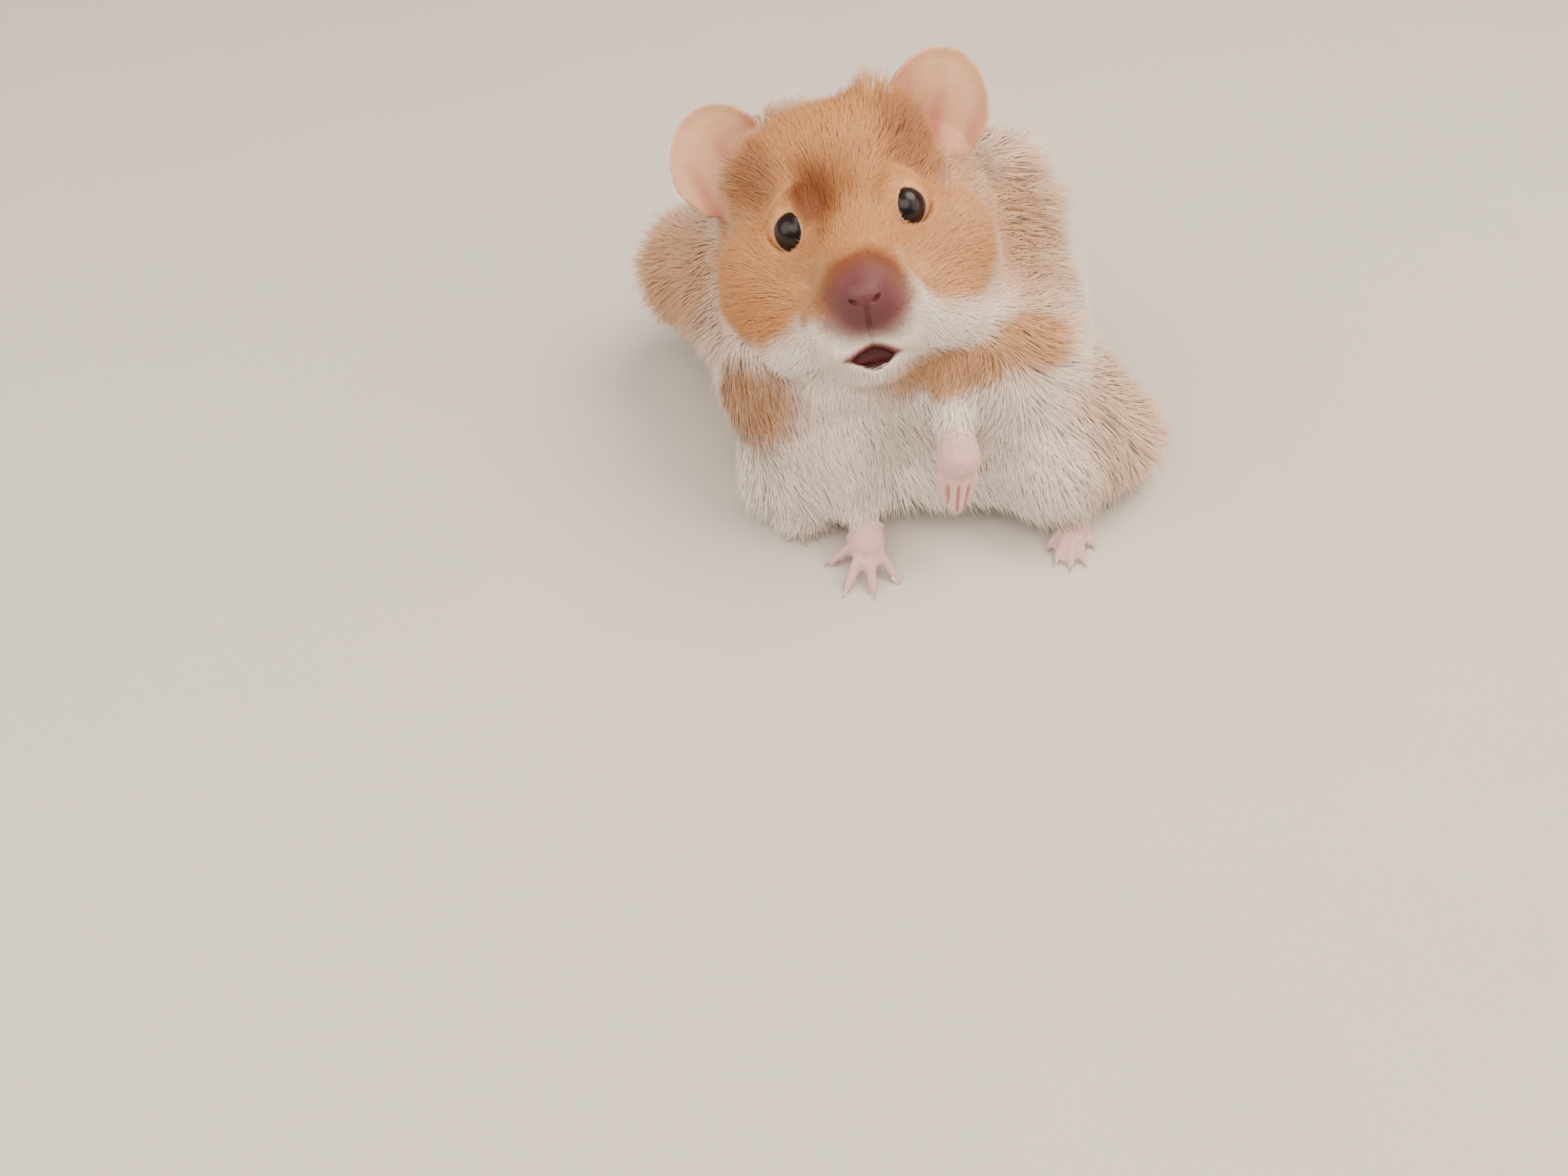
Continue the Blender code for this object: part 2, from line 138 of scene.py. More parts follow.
for name, (place, size, power, colour) in AREA_LIGHTS.items():
    lamp = bpy.data.lights.new(name, "AREA")
    lamp.shape = "DISK"
    lamp.size = size
    lamp.energy = power
    lamp.color = linear(colour)[:3]
    stand = placed(name, lamp)
    stand.location = place
    stand.rotation_euler = (-Vector(place)).to_track_quat("-Z", "Y").to_euler()

world = bpy.data.worlds.new("room")
world.use_nodes = True
background = world.node_tree.nodes["Background"]
background.inputs["Color"].default_value = linear(ROOM_COLOUR)
background.inputs["Strength"].default_value = ROOM_LIGHT
bpy.context.scene.world = world

# Matt emulsion paint on the floor: it has no shine, and it is very slightly mottled.
floor_form = bmesh.new()
bmesh.ops.create_grid(floor_form, x_segments=1, y_segments=1, size=FLOOR_REACH)
floor = placed("floor", mesh_of(floor_form, "floor"))
floor_paint, tree = new_material("matt_floor_paint")
place = add_node(tree, "ShaderNodeTexCoord")
mottle = add_node(
    tree,
    "ShaderNodeTexNoise",
    {"Scale": FLOOR_MOTTLES, "Detail": 6},
    {"Vector": place.outputs["Object"]},
)
tone = add_node(
    tree,
    "ShaderNodeMapRange",
    {"To Min": FLOOR_TONES[0], "To Max": FLOOR_TONES[1]},
    {"Value": mottle.outputs["Fac"]},
)
tinted = add_node(
    tree,
    "ShaderNodeMix",
    {"data_type": "RGBA", "blend_type": "MULTIPLY", MIX_SHARE: 1.0, MIX_A: linear(FLOOR_COLOUR)},
    {MIX_B: tone.outputs["Result"]},
)
paint = add_node(
    tree, "ShaderNodeBsdfPrincipled", {"Roughness": 0.75}, {"Base Color": tinted.outputs[MIX_RESULT]}
)
add_node(tree, "ShaderNodeOutputMaterial", links={"Surface": paint.outputs["BSDF"]})
floor.data.materials.append(floor_paint)

# ---------------------------------------------------------------------------------------------
# The skin: one thin hide over the whole animal. The parted solids are swollen until they join,
# remeshed as one form, smoothed, and drawn in by the coat's depth. Ears, nose, hands and feet
# are nearly bare, so there the hide is the outline itself.
MM = 0.001
NOSE_DIP = math.radians(34.24)  # the nose lies this far below the eyes' level, seen from the side
SEAM_FILL = 0.3  # mm that each solid is swollen by, to close the cuts between them
SKIN_CELL = 0.42  # mm
SKIN_TRIANGLES = 150000  # before the face gets its finer ones
JOINT_PASSES = 40  # of smoothing, where one part of the flesh runs into the next
POLISH_PASSES = 14
SKIN_CLEAR = 0.2  # mm above the floor

# What grows on each part: the coat's depth, and the length, lift and width of its locks in mm
# and degrees, and how many stand on a square millimetre.
COAT = {
    "head": (1.5, 4.0, 19, 0.22, 13.0),
    "jaw": (1.2, 3.4, 20, 0.22, 13.0),
    "nose": (0.1, 0.8, 12, 0.14, 0.0),
    "neck": (3.4, 9.0, 23, 0.30, 8.0),
    "trunk": (3.4, 8.5, 22, 0.32, 5.6),
    "rump": (3.2, 9.0, 21, 0.32, 5.6),
    "thigh_left": (3.0, 8.0, 21, 0.30, 7.0),
    "thigh_right": (3.0, 8.0, 21, 0.30, 7.0),
    "foreleg_left": (2.4, 6.0, 21, 0.28, 9.0),
    "foreleg_right": (2.4, 6.0, 21, 0.28, 9.0),
    "ear_left": (0.05, 1.3, 10, 0.08, 2.6),
    "ear_right": (0.05, 1.3, 10, 0.08, 2.6),
    "forepaw_left": (0.15, 1.3, 12, 0.10, 5.0),
    "forepaw_right": (0.15, 1.3, 12, 0.10, 5.0),
    "hind_foot_left": (0.15, 1.5, 15, 0.11, 8.0),
    "hind_foot_right": (0.15, 1.5, 15, 0.11, 8.0),
    "tail": (0.2, 1.6, 16, 0.14, 6.0),
}
PART_NAMES = list(COAT)
FACE = ["head", "jaw", "nose"]
THIN = [name for name in PART_NAMES if name.startswith(("ear", "forepaw", "hind", "tail"))]


def middle_of(node):
    """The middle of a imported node's box, in metres."""
    low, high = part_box(node)
    return (low + high) / 2


def head_frame():
    """The head's frame, worked out from the two eyes and the nose."""
    left, right, nose = (middle_of(node) for node in ("eye_left", "eye_right", "nose"))
    origin = (left + right) / 2
    across = (left - right).normalized()
    ahead = nose - origin
    ahead = (ahead - ahead.dot(across) * across).normalized()
    back = math.sin(NOSE_DIP) * across.cross(ahead) - math.cos(NOSE_DIP) * ahead
    axes = Matrix((across, back, across.cross(back))).transposed().to_4x4()
    return Matrix.Translation(origin) @ axes @ Matrix.Scale(MM, 4)


HEAD = head_frame()
INTO_HEAD = np.array(HEAD.inverted())
OUT_OF_HEAD = np.array(HEAD)


def in_head(points):
    """Points in metres as an array in the head's own millimetres."""
    return points @ INTO_HEAD[:3, :3].T + INTO_HEAD[:3, 3]


def from_head(points):
    """Points in the head's millimetres as an array in metres."""
    return points @ OUT_OF_HEAD[:3, :3].T + OUT_OF_HEAD[:3, 3]


def settle(made):
    """Replaces an object's mesh by the one that its modifiers give."""
    bpy.context.view_layer.update()
    shown = made.evaluated_get(bpy.context.evaluated_depsgraph_get())
    mesh = bpy.data.meshes.new_from_object(shown)
    made.modifiers.clear()
    old = made.data
    made.data = mesh
    bpy.data.meshes.remove(old)


def points_of(mesh):
    """A mesh's corners as an array."""
    values = np.empty(len(mesh.vertices) * 3)
    mesh.vertices.foreach_get("co", values)
    return values.reshape(-1, 3)


def move_points(mesh, points):
    """Gives a mesh's corners new places."""
    mesh.vertices.foreach_set("co", points.ravel())
    mesh.update()


def normals_of(mesh):
    """The way out of a mesh at each of its corners."""
    values = np.empty(len(mesh.vertices) * 3)
    mesh.vertex_normals.foreach_get("vector", values)
    return values.reshape(-1, 3)


def unit(vectors):
    """The same directions, each 1 long."""
    return vectors / np.maximum(np.linalg.norm(vectors, axis=-1, keepdims=True), 1e-12)


class Smoother:
    """Averages values over a mesh's neighbouring vertices."""

    def __init__(self, mesh):
        ends = np.empty(len(mesh.edges) * 2, np.int64)
        mesh.edges.foreach_get("vertices", ends)
        self.one, self.other = ends.reshape(-1, 2).T
        self.size = len(mesh.vertices)
        self.count = np.bincount(ends, minlength=self.size)

    def average(self, values):
        sums = [
            np.bincount(self.one, column[self.other], self.size)
            + np.bincount(self.other, column[self.one], self.size)
            for column in values.reshape(self.size, -1).T
        ]
        return (np.array(sums) / np.maximum(self.count, 1)).T.reshape(values.shape)

    def smooth(self, values, passes, share=1.0):
        for _ in range(passes):
            values = values + share * (self.average(values) - values)
        return values


def swollen_flesh():
    """All parts of flesh in one mesh, each merged and swollen a little."""
    flesh = bmesh.new()
    for name in PART_NAMES:
        part = bmesh.new()
        part.from_mesh(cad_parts[name].data)
        bmesh.ops.remove_doubles(part, verts=part.verts, dist=0.001 * MM)
        part.normal_update()
        for vert in part.verts:
            vert.co += vert.normal * SEAM_FILL * MM
        mesh = mesh_of(part, "part")
        flesh.from_mesh(mesh)
        bpy.data.meshes.remove(mesh)
    return mesh_of(flesh, "skin")


def nearest_parts(points):
    """For each point, the index of the part whose solid is nearest."""
    corners, faces, owners = [], [], []
    for index, name in enumerate(PART_NAMES):
        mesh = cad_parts[name].data
        start = len(corners)
        corners += [vert.co for vert in mesh.vertices]
        faces += [[start + i for i in face.vertices] for face in mesh.polygons]
        owners += [index] * len(mesh.polygons)
    solids = BVHTree.FromPolygons(corners, faces)
    return np.array([owners[solids.find_nearest(Vector(point))[2]] for point in points])


skin = placed("skin", swollen_flesh())
remesh = skin.modifiers.new("join", "REMESH")
remesh.mode = "VOXEL"
remesh.voxel_size = SKIN_CELL * MM
settle(skin)


def mask_of(parts, names):
    """1 where a point belongs to one of the named parts, and 0 elsewhere."""
    return np.isin(parts, [PART_NAMES.index(name) for name in names]).astype(float)


# Broad flesh can do with larger faces than ears, hands and face.
parts = nearest_parts(points_of(skin.data))
broad = 1 - Smoother(skin.data).smooth(mask_of(parts, THIN + FACE), 4)
group = skin.vertex_groups.new(name="broad")
for level in np.unique(np.round(broad, 1)):
    group.add(np.flatnonzero(np.round(broad, 1) == level).tolist(), float(level), "REPLACE")
thin = skin.modifiers.new("thin", "DECIMATE")
thin.vertex_group = "broad"
thin.ratio = min(1, SKIN_TRIANGLES / (2 * len(skin.data.polygons)))
settle(skin)

points = points_of(skin.data)
parts = nearest_parts(points)
smoother = Smoother(skin.data)
firmness = smoother.smooth(mask_of(parts, THIN), 5)
slack = (1 - np.clip(1.6 * firmness, 0, 1))[:, None]
points = smoother.smooth(points, JOINT_PASSES, 0.6 * slack)

# A polish that draws the form in and lets it out again, so that it keeps its size.
for _ in range(POLISH_PASSES):
    points = smoother.smooth(points, 1, 0.5)
    points = smoother.smooth(points, 1, -0.52)
move_points(skin.data, points)

# Places and sizes of the face, in the head's mm.
NOSE_AT = (0, -16.5, -11.3)
MOUTH = ((-0.3, -7.6, -20.6), (4.6, 6, 1.3))  # its cavity's middle and radii
MOUTH_TILT = math.radians(-12)
EYE_WAY = (0.47, -0.88, 0.0)  # the way that the left one looks
EYE_SHIFT = (-0.45, 0, -0.2)  # mm from the solid of the left eye to the shown eyeball
EYE_LEAN = math.radians(18)  # the top of each opening leans this far towards the crown's middle
EYE_OPENING = (2.65, 3.2)  # half its width and half its height
EYE_CORNER = 1.75  # 2 makes an ellipse, and less draws its ends out to corners


def eye_axes(side):
    """An eyeball's middle in the head's mm, and its axes: across, up and the way it looks."""
    name = "eye_left" if side > 0 else "eye_right"
    mirror = np.array([side, 1, 1])
    middle = in_head(np.array([middle_of(name)]))[0] + mirror * np.array(EYE_SHIFT)
    way = unit(mirror * np.array(EYE_WAY))
    up = np.array([-side * math.sin(EYE_LEAN), 0, math.cos(EYE_LEAN)])
    up = unit(up - (up @ way) * way)
    return middle, np.array([np.cross(up, way), up, way])


def opening_share(across, up):
    """How far a point is from the eye's axis, as a share of the way to the opening's edge."""
    wide = (np.abs(across) / EYE_OPENING[0]) ** EYE_CORNER
    high = (np.abs(up) / EYE_OPENING[1]) ** EYE_CORNER
    return (wide + high) ** (1 / EYE_CORNER)


def smoothstep(low, high, values):
    """A soft step from 0 at one value to 1 at the other."""
    share = np.clip((values - low) / (high - low), 0, 1)
    return share * share * (3 - 2 * share)


def mouth_share(values):
    """How far a point is from the mouth's middle, as a share of the way to its walls."""
    offset = values - np.array(MOUTH[0])
    back = math.cos(MOUTH_TILT) * offset[:, 1] + math.sin(MOUTH_TILT) * offset[:, 2]
    up = math.cos(MOUTH_TILT) * offset[:, 2] - math.sin(MOUTH_TILT) * offset[:, 1]
    return np.linalg.norm(np.column_stack((offset[:, 0], back, up)) / np.array(MOUTH[1]), axis=1)


# The coat starts at the first distance in mm from the nose or from an eye's middle, is full
# grown at the second, and never has less than the third's share of its fullness.
GROWN_FROM_NOSE = (3, 20, 0.12)
GROWN_FROM_EYE = (3.2, 7.2, 0.3)
COAT_PASSES = 26  # of smoothing, between one part's coat and the next one's


def fullness(distances, start, full, least):
    """How full grown the coat is at each distance."""
    return np.clip((distances - start) / (full - start), least, 1)


def coat_at(head_points, parts, smoother):
    """Depth, length, lift, width and density of the coat at each corner of the skin.

    The coat is shortest and finest at the nose and round the eyes, and grows towards the cheeks.
    """
    values = smoother.smooth(np.array([COAT[name] for name in PART_NAMES])[parts], COAT_PASSES)
    depth, length, lift, width, density = values.T
    from_nose = np.linalg.norm(head_points - np.array(NOSE_AT), axis=1)
    from_eyes = [np.linalg.norm(head_points - eye_axes(side)[0], axis=1) for side in (1, -1)]
    grown = fullness(from_nose, *GROWN_FROM_NOSE)
    grown = grown * fullness(np.min(from_eyes, axis=0), *GROWN_FROM_EYE)
    bared = (1 - grown) * np.clip(smoother.smooth(mask_of(parts, FACE), 10), 0, 1)
    from_lips = smoothstep(1.1, 2.6, mouth_share(head_points))
    return (
        depth * (1 - bared) * (0.2 + 0.8 * from_lips),
        length * (1 - 0.9 * bared) * (0.5 + 0.5 * from_lips),
        lift,
        width * (1 - 0.45 * bared),
        density * (1 + 0.7 * bared),
    )


# Tufts: places where the coat is longer, stands up and parts into points. Each has its middle
# and reach in the head's mm, how much longer and how many degrees steeper its locks are, and
# how much deeper in mm the skin lies under them.
TUFTS = {
    "crown_left": ((6.5, 8.0, 16.5), 3.4, 1.5, 28, 0),
    "crown_right": ((-8.6, 12, 18), 4.8, 0.9, 22, 0),
    "left_ear_front": ((10, 5, 11), 3.6, 1.0, 22, 0),
    "right_ear_front": ((-15, 7, 9), 3.6, 0.9, 20, 0),
    "ruff_top": ((28, 15, 3), 9.0, 0.35, 14, 3.5),
    "ruff_back": ((35, 20, -1), 9.0, 0.30, 10, 4.5),
    "ruff_side": ((36, 18, -16), 10.0, 0.15, 5, 1.5),
    "right_ruff": ((-28, 16, -6), 8.0, 0.2, 8, 0.5),
}


def near_tufts(head_points, parts):
    """For each tuft, how near each point is to it, from 0 to 1. None grow on the ears."""
    off_ears = 1 - mask_of(parts, ["ear_left", "ear_right"])
    return [
        off_ears * np.exp(-((np.linalg.norm(head_points - np.array(middle), axis=1) / reach) ** 2))
        for middle, reach, *_ in TUFTS.values()
    ]


head_points = in_head(points)
depths = coat_at(head_points, parts, smoother)[0]
for near, (*_, sink) in zip(near_tufts(head_points, parts), TUFTS.values()):
    depths = depths + sink * near
depths = smoother.smooth(depths, 6)
normals = normals_of(skin.data)
points = points - normals * (depths + SEAM_FILL * 0.8)[:, None] * MM
points = smoother.smooth(points, 2, 0.5 * slack)
points[:, 2] = np.maximum(points[:, 2], SKIN_CLEAR * MM)
move_points(skin.data, points)

# Finer faces where the face has its detail: round the nose and mouth, and round each eye.
detail = bmesh.new()
detail.from_mesh(skin.data)
fine_places = (  # a middle in metres and a reach in mm
    (HEAD @ Vector((0, -15, -14)), 10.5),
    (middle_of("eye_left"), 6.5),
    (middle_of("eye_right"), 6.5),
)
near_edges = [
    edge
    for edge in detail.edges
    if any((edge.verts[0].co - middle).length < reach * MM for middle, reach in fine_places)
]
bmesh.ops.subdivide_edges(detail, edges=near_edges, cuts=1, use_grid_fill=True)
bmesh.ops.triangulate(detail, faces=detail.faces)
detail.to_mesh(skin.data)
detail.free()

# The lids lie on the eyeball round its opening, and the hide inside that is pushed in behind it.
LID_GAP = 0.12  # mm from the ball out to the lid's edge
LID_FALL = 0.45  # how steeply the lid falls away from its edge
LID_SPREAD = 2.1  # times the opening, where the lid has run out into the face
LID_INSIDE = 0.97  # times the opening, and the hide within this is pushed in
LID_PUSH = 1.2  # mm
BROW_RISE = 0.15  # mm that the lid stands further out above the eye
SOCKET_DEPTH = 3.5  # mm behind the ball's middle, where the lids have no more hold
LID_ROUNDS = 5  # of drawing a lid and smoothing it
head_points = in_head(points_of(skin.data))
smoother = Smoother(skin.data)
round_lips = smoothstep(3.0, 1.8, mouth_share(head_points))[:, None]
head_points = smoother.smooth(head_points, 5, 0.5 * round_lips)


def with_lid(head_points, side, name):
    """The skin's points once one eye's lid is drawn over its ball, and how near each one lies."""
    middle, axes = eye_axes(side)
    low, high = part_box(name)
    ball = (high.x - low.x) / 2 / MM
    across, up, height = ((head_points - middle) @ axes.T).T
    share = opening_share(across, up)
    distance = np.hypot(across, up)
    edge = np.minimum(distance, distance / np.maximum(share, 1e-6))
    lid = np.sqrt((ball + LID_GAP) ** 2 - np.minimum(edge, ball) ** 2) - LID_FALL * (distance - edge)
    blend = 1 - smoothstep(1.05, LID_SPREAD, share)
    new_height = np.where(
        share < LID_INSIDE,
        np.minimum(height, lid - LID_PUSH),
        np.maximum(height, height + blend * (lid + BROW_RISE * smoothstep(0, 3, up) - height)),
    )
    in_front = height > -SOCKET_DEPTH
    change = np.where(in_front & (share < LID_SPREAD), new_height - height, 0)
    near = in_front * (1 - smoothstep(LID_SPREAD, LID_SPREAD + 1.2, share))
    return head_points + change[:, None] * axes[2], near


for side, name in ((1, "eye_left"), (-1, "eye_right")):
    for _ in range(LID_ROUNDS):
        head_points, near = with_lid(head_points, side, name)
        head_points = smoother.smooth(head_points, 4, 0.5 * near[:, None])
    head_points, _ = with_lid(head_points, side, name)

# The nostrils, and the groove that runs from between them down to the mouth.
NOSTRIL_AT = (1.75, -18.2, -11.9)  # the left one's
NOSTRIL_RADII = (0.95, 1.6, 0.42)
NOSTRIL_TILT = math.radians(35)  # its outer end is the higher one
NOSTRIL_DEPTH = 1.1  # mm
LIP_GROOVE_AT = -15.8  # how high its middle is
LIP_GROOVE_HALF = (2.5, 4.5)  # mm up and down from there, where it starts and has ended
LIP_GROOVE_WIDTH = 0.4  # mm
LIP_GROOVE_DEPTH = 0.8  # mm
in_nostril = np.full(len(head_points), 9.0)
for side in (1, -1):
    offset = head_points - np.array(NOSTRIL_AT) * np.array([side, 1, 1])
    along = side * offset[:, 0] * math.cos(NOSTRIL_TILT) + offset[:, 2] * math.sin(NOSTRIL_TILT)
    over = offset[:, 2] * math.cos(NOSTRIL_TILT) - side * offset[:, 0] * math.sin(NOSTRIL_TILT)
    flat = np.column_stack((along, offset[:, 1], over)) / np.array(NOSTRIL_RADII)
    in_nostril = np.minimum(in_nostril, np.linalg.norm(flat, axis=1))
head_points[:, 1] += NOSTRIL_DEPTH * (1 - smoothstep(0.3, 1.3, in_nostril))
groove = np.exp(-((head_points[:, 0] / LIP_GROOVE_WIDTH) ** 2)) * (head_points[:, 1] < -9)
from_middle = np.abs(head_points[:, 2] - LIP_GROOVE_AT)
groove = groove * (1 - smoothstep(*LIP_GROOVE_HALF, from_middle))
head_points[:, 1] += LIP_GROOVE_DEPTH * groove

# The lower lip hangs in a blunt point, and the upper one comes down over the mouth's ends.
LIP_MIDDLE = 0.1  # mm to the left of the head's middle
LIP_WIDTH = 2.5  # mm
LOWER_LIP_DROP = 1.7  # mm
UPPER_LIP_DROP = 1.4  # mm
MOUTH_SLOPE = 0.21  # how steeply the line between the lips falls towards the back
MOUTH_BACK = -5.6  # mm, how far back the open mouth goes
from_mouth = 1 - smoothstep(1.0, 3.6, mouth_share(head_points))
lip_arch = np.exp(-(((head_points[:, 0] - LIP_MIDDLE) / LIP_WIDTH) ** 2))
back_along = head_points[:, 1] - MOUTH[0][1]
is_lower = smoothstep(0.4, -0.4, head_points[:, 2] - MOUTH[0][2] + MOUTH_SLOPE * back_along)
drop = is_lower * LOWER_LIP_DROP * lip_arch + (1 - is_lower) * UPPER_LIP_DROP * (1 - 0.6 * lip_arch)
in_mouth = 1 - smoothstep(1.05, 1.5, mouth_share(head_points))
head_points[:, 2] -= drop * from_mouth
shallow = np.minimum(head_points[:, 1], MOUTH_BACK)
head_points[:, 1] += smoothstep(1.5, 1.1, mouth_share(head_points)) * (shallow - head_points[:, 1])

# The left hand hangs with its fingers together, and grooves part them. The grooves are also
# reddened in the skin's colour, which is painted shade between the fingers.
FINGERS = 4
FINGER_SPACING = (1.27, 1.83)  # mm, at the tips and at the knuckles
FINGERS_MIDDLE = 0.3  # mm to the left of the solid's middle
KNUCKLES_UP = 4.5  # mm above the tips
GROOVE_DEPTH = 0.45  # mm
GROOVE_WIDTH = 0.16  # of the spacing
parts = nearest_parts(points_of(skin.data))
body_points = points_of(skin.data) / MM
low, high = (np.array(corner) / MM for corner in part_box("forepaw_left"))
up_hand = (body_points[:, 2] - low[2]) / KNUCKLES_UP
spacing = np.interp(up_hand, (0, 1), FINGER_SPACING)
finger = (body_points[:, 0] - (low[0] + high[0]) / 2 - FINGERS_MIDDLE) / spacing
between = np.exp(-(((finger - np.round(finger)) / GROOVE_WIDTH) ** 2))
between = between * (np.abs(finger) < FINGERS / 2 - 0.5)
between = between * mask_of(parts, ["forepaw_left"]) * (1 - smoothstep(1.0, 1.4, up_hand))
hand_normals = normals_of(skin.data) @ INTO_HEAD[:3, :3].T * MM
head_points = head_points - (GROOVE_DEPTH * between)[:, None] * hand_normals
hands = mask_of(parts, ["forepaw_left", "forepaw_right", "hind_foot_left", "hind_foot_right"])

# The ears: a rim that curls towards the open side, and soft folds that fan out of the base.
# They are pink beside the head, and reddest deep in the folds, where the red is painted shade.
# Each has its base, its tip and a place that its open side faces.
EARS = {
    "ear_left": ((11.5, 13, 2.5), (21.6, 15.5, 23.6), (25, -60, 20)),
    "ear_right": ((-15.5, 13, 2), (-22.6, 15.5, 23), (-25, -60, 20)),
}
EAR_HALF_WIDTH = 9.0  # mm
FOLD_HEIGHT = 0.30  # mm
FOLD_TURNS = 9  # radians of waving from the ear's middle to its side
FOLD_START = 0.8  # radians
RIM_CURL = 0.7  # mm
# Painted shade: the skin's red starts in the grooves between the fingers.
flush_and_crease_shade = between.copy()
for name, (base, tip, faced) in EARS.items():
    base, tip, faced = (np.array(point, float) for point in (base, tip, faced))
    rise = unit(tip - base)
    across = unit(np.cross(rise, faced - tip))
    back = np.cross(rise, across)
    along = (head_points - base) @ rise / np.linalg.norm(tip - base)
    aside = (head_points - base) @ across / EAR_HALF_WIDTH
    edge = np.hypot(aside, 2 * along - 1)
    mine = mask_of(parts, [name]) * smoothstep(0.2, 0.4, along)
    wave = np.cos(FOLD_TURNS * aside - FOLD_START)
    fold = FOLD_HEIGHT * wave * (1 - smoothstep(0.3, 0.85, along))
    curl = RIM_CURL * smoothstep(0.78, 1.05, edge)
    head_points = head_points + (mine * (fold - curl))[:, None] * back
    inward = np.clip(-aside * np.sign(across[0] * base[0]), -1, 1)
    pink_and_fold_shade = (1 - smoothstep(0.35, 1.0, along)) * np.clip(0.75 + 0.6 * inward, 0, 1)
    # Painted shade: redder again in the grooves between the folds.
    pink_and_fold_shade = pink_and_fold_shade + 0.35 * np.clip(wave, 0, 1) * (1 - smoothstep(0.4, 0.9, along))
    pink_and_fold_shade = np.clip(pink_and_fold_shade + 0.15 * smoothstep(0.85, 1, edge), 0, 1)
    flush_and_crease_shade = np.maximum(flush_and_crease_shade, mask_of(parts, [name]) * pink_and_fold_shade)
move_points(skin.data, from_head(head_points))
skin.data.shade_smooth()

# The unwrap of the skin's own shape, which the coat's patches share.
skin.data.uv_layers.new(name="OFBake")
bpy.context.view_layer.objects.active = skin
for other in bpy.context.selected_objects:
    other.select_set(False)
skin.select_set(True)
bpy.ops.object.mode_set(mode="EDIT")
bpy.ops.mesh.select_all(action="SELECT")
bpy.ops.uv.smart_project(angle_limit=math.radians(60), island_margin=0.002)
bpy.ops.object.mode_set(mode="OBJECT")


# The markings, the same for hide and hair: for each point, how far it is golden, dark brown
# and mauve, worked out from named patches. A patch is an ellipsoid in the head's mm, with soft
# edges: middle, radii, strength and softness.
GOLD_PATCHES = {
    "crown": ((0, 7, 8), (20.5, 13, 13), 1.0, 0.22),
    "face": ((0, 0, 1), (21, 13, 9), 1.0, 0.25),
    "bridge": ((0.8, -11, -4), (8.5, 10, 6.5), 1.0, 0.25),
    "beside_bridge": ((6.5, -9, -5.5), (6.0, 9, 5.0), 0.85, 0.35),
    "inner_cheek": ((-8.0, -9.5, -7.5), (7.5, 10, 7.5), 0.95, 0.25),
    "left_cheek": ((14.8, 0, -6.5), (9.0, 15, 10.5), 0.95, 0.2),
    "right_cheek": ((-16.7, 0, -6.8), (9.6, 16, 10.6), 1.0, 0.2),
    "left_temple": ((19, 6, 1), (7.5, 12, 9), 0.8, 0.35),
    "right_temple": ((-20, 8, 0), (9, 13, 10), 0.9, 0.3),
    "left_collar": ((28, 3, -25.5), (9.5, 9, 5.5), 0.9, 0.4),
    "throat_collar": ((14, -1, -27.5), (15, 9, 4.4), 0.88, 0.35),
    "right_shoulder": ((-24, 3, -27.5), (11, 11, 8.0), 0.85, 0.4),
    "nape": ((0, 36, -4), (30, 16, 24), 0.62, 0.5),
    "ruff": ((30, 14, -6), (12, 20, 19), 0.82, 0.6),
    "right_ruff": ((-28, 14, -8), (9, 14, 14), 0.55, 0.6),
    "right_back": ((-35, 30, -4), (17, 20, 16), 0.85, 0.5),
    "rump": ((48, 20, -44), (18, 24, 20), 0.55, 0.5),
}
BROWN_PATCHES = {
    "brow": ((-4.9, -1.1, 4.6), (4.2, 4.8, 6.2), 1.0, 0.55),
    "brow_edge": ((-1.6, -0.5, 6.0), (4.8, 5, 3.8), 0.5, 0.7),
    "snout_ring": ((0.8, -15.2, -10.4), (8.7, 7.5, 7.3), 0.92, 0.4),
    "left_ear_root": ((8.8, 6.0, 13.5), (2.4, 5.5, 6.0), 0.5, 0.6),
    "right_ear_root": ((-17, 7, 8.5), (3.4, 5, 6.0), 0.3, 0.6),
}
MAUVE_PATCHES = {
    "snout": ((0.4, -16.5, -12.6), (6.4, 6.8, 6.6), 1.0, 0.5),
    "left_ear_hollow": ((12.8, 6.0, 10.0), (3.2, 5.0, 6.6), 0.45, 0.5),
    "left_ear_foot": ((16.5, 7.0, 4.8), (3.2, 4.0, 3.0), 0.35, 0.5),
    "right_ear_hollow": ((-13.6, 4.5, 10.0), (2.8, 5.0, 5.5), 0.4, 0.5),
}


def patched(values, patches):
    """How far each point lies inside any of the patches, from 0 to 1."""
    amount = np.zeros(len(values))
    for middle, radii, strength, softness in patches.values():
        away = np.linalg.norm((values - np.array(middle)) / np.array(radii), axis=1)
        amount = np.maximum(amount, strength * (1 - smoothstep(1 - softness, 1 + softness, away)))
    return amount


RAGGED = 0.8  # mm that the patches' edges wander
RAGGED_SCALE = 7  # mm from one bay of an edge to the next
TONE_SCALE = 3  # mm
WAVES = 6
WAVE_GAIN = 1.6  # which takes the usual peaks of the waves' mean to 1


def waves(values, scale, seed):
    """A smooth random field from about -1 to 1, from a few crossed waves."""
    draw = np.random.default_rng(seed)
    total = np.zeros(len(values))
    for _ in range(WAVES):
        way = unit(draw.normal(size=3)) * draw.uniform(0.6, 1.6) * 2 * math.pi / scale
        total += np.sin(values @ way + draw.uniform(0, 2 * math.pi))
    return total / WAVES * WAVE_GAIN


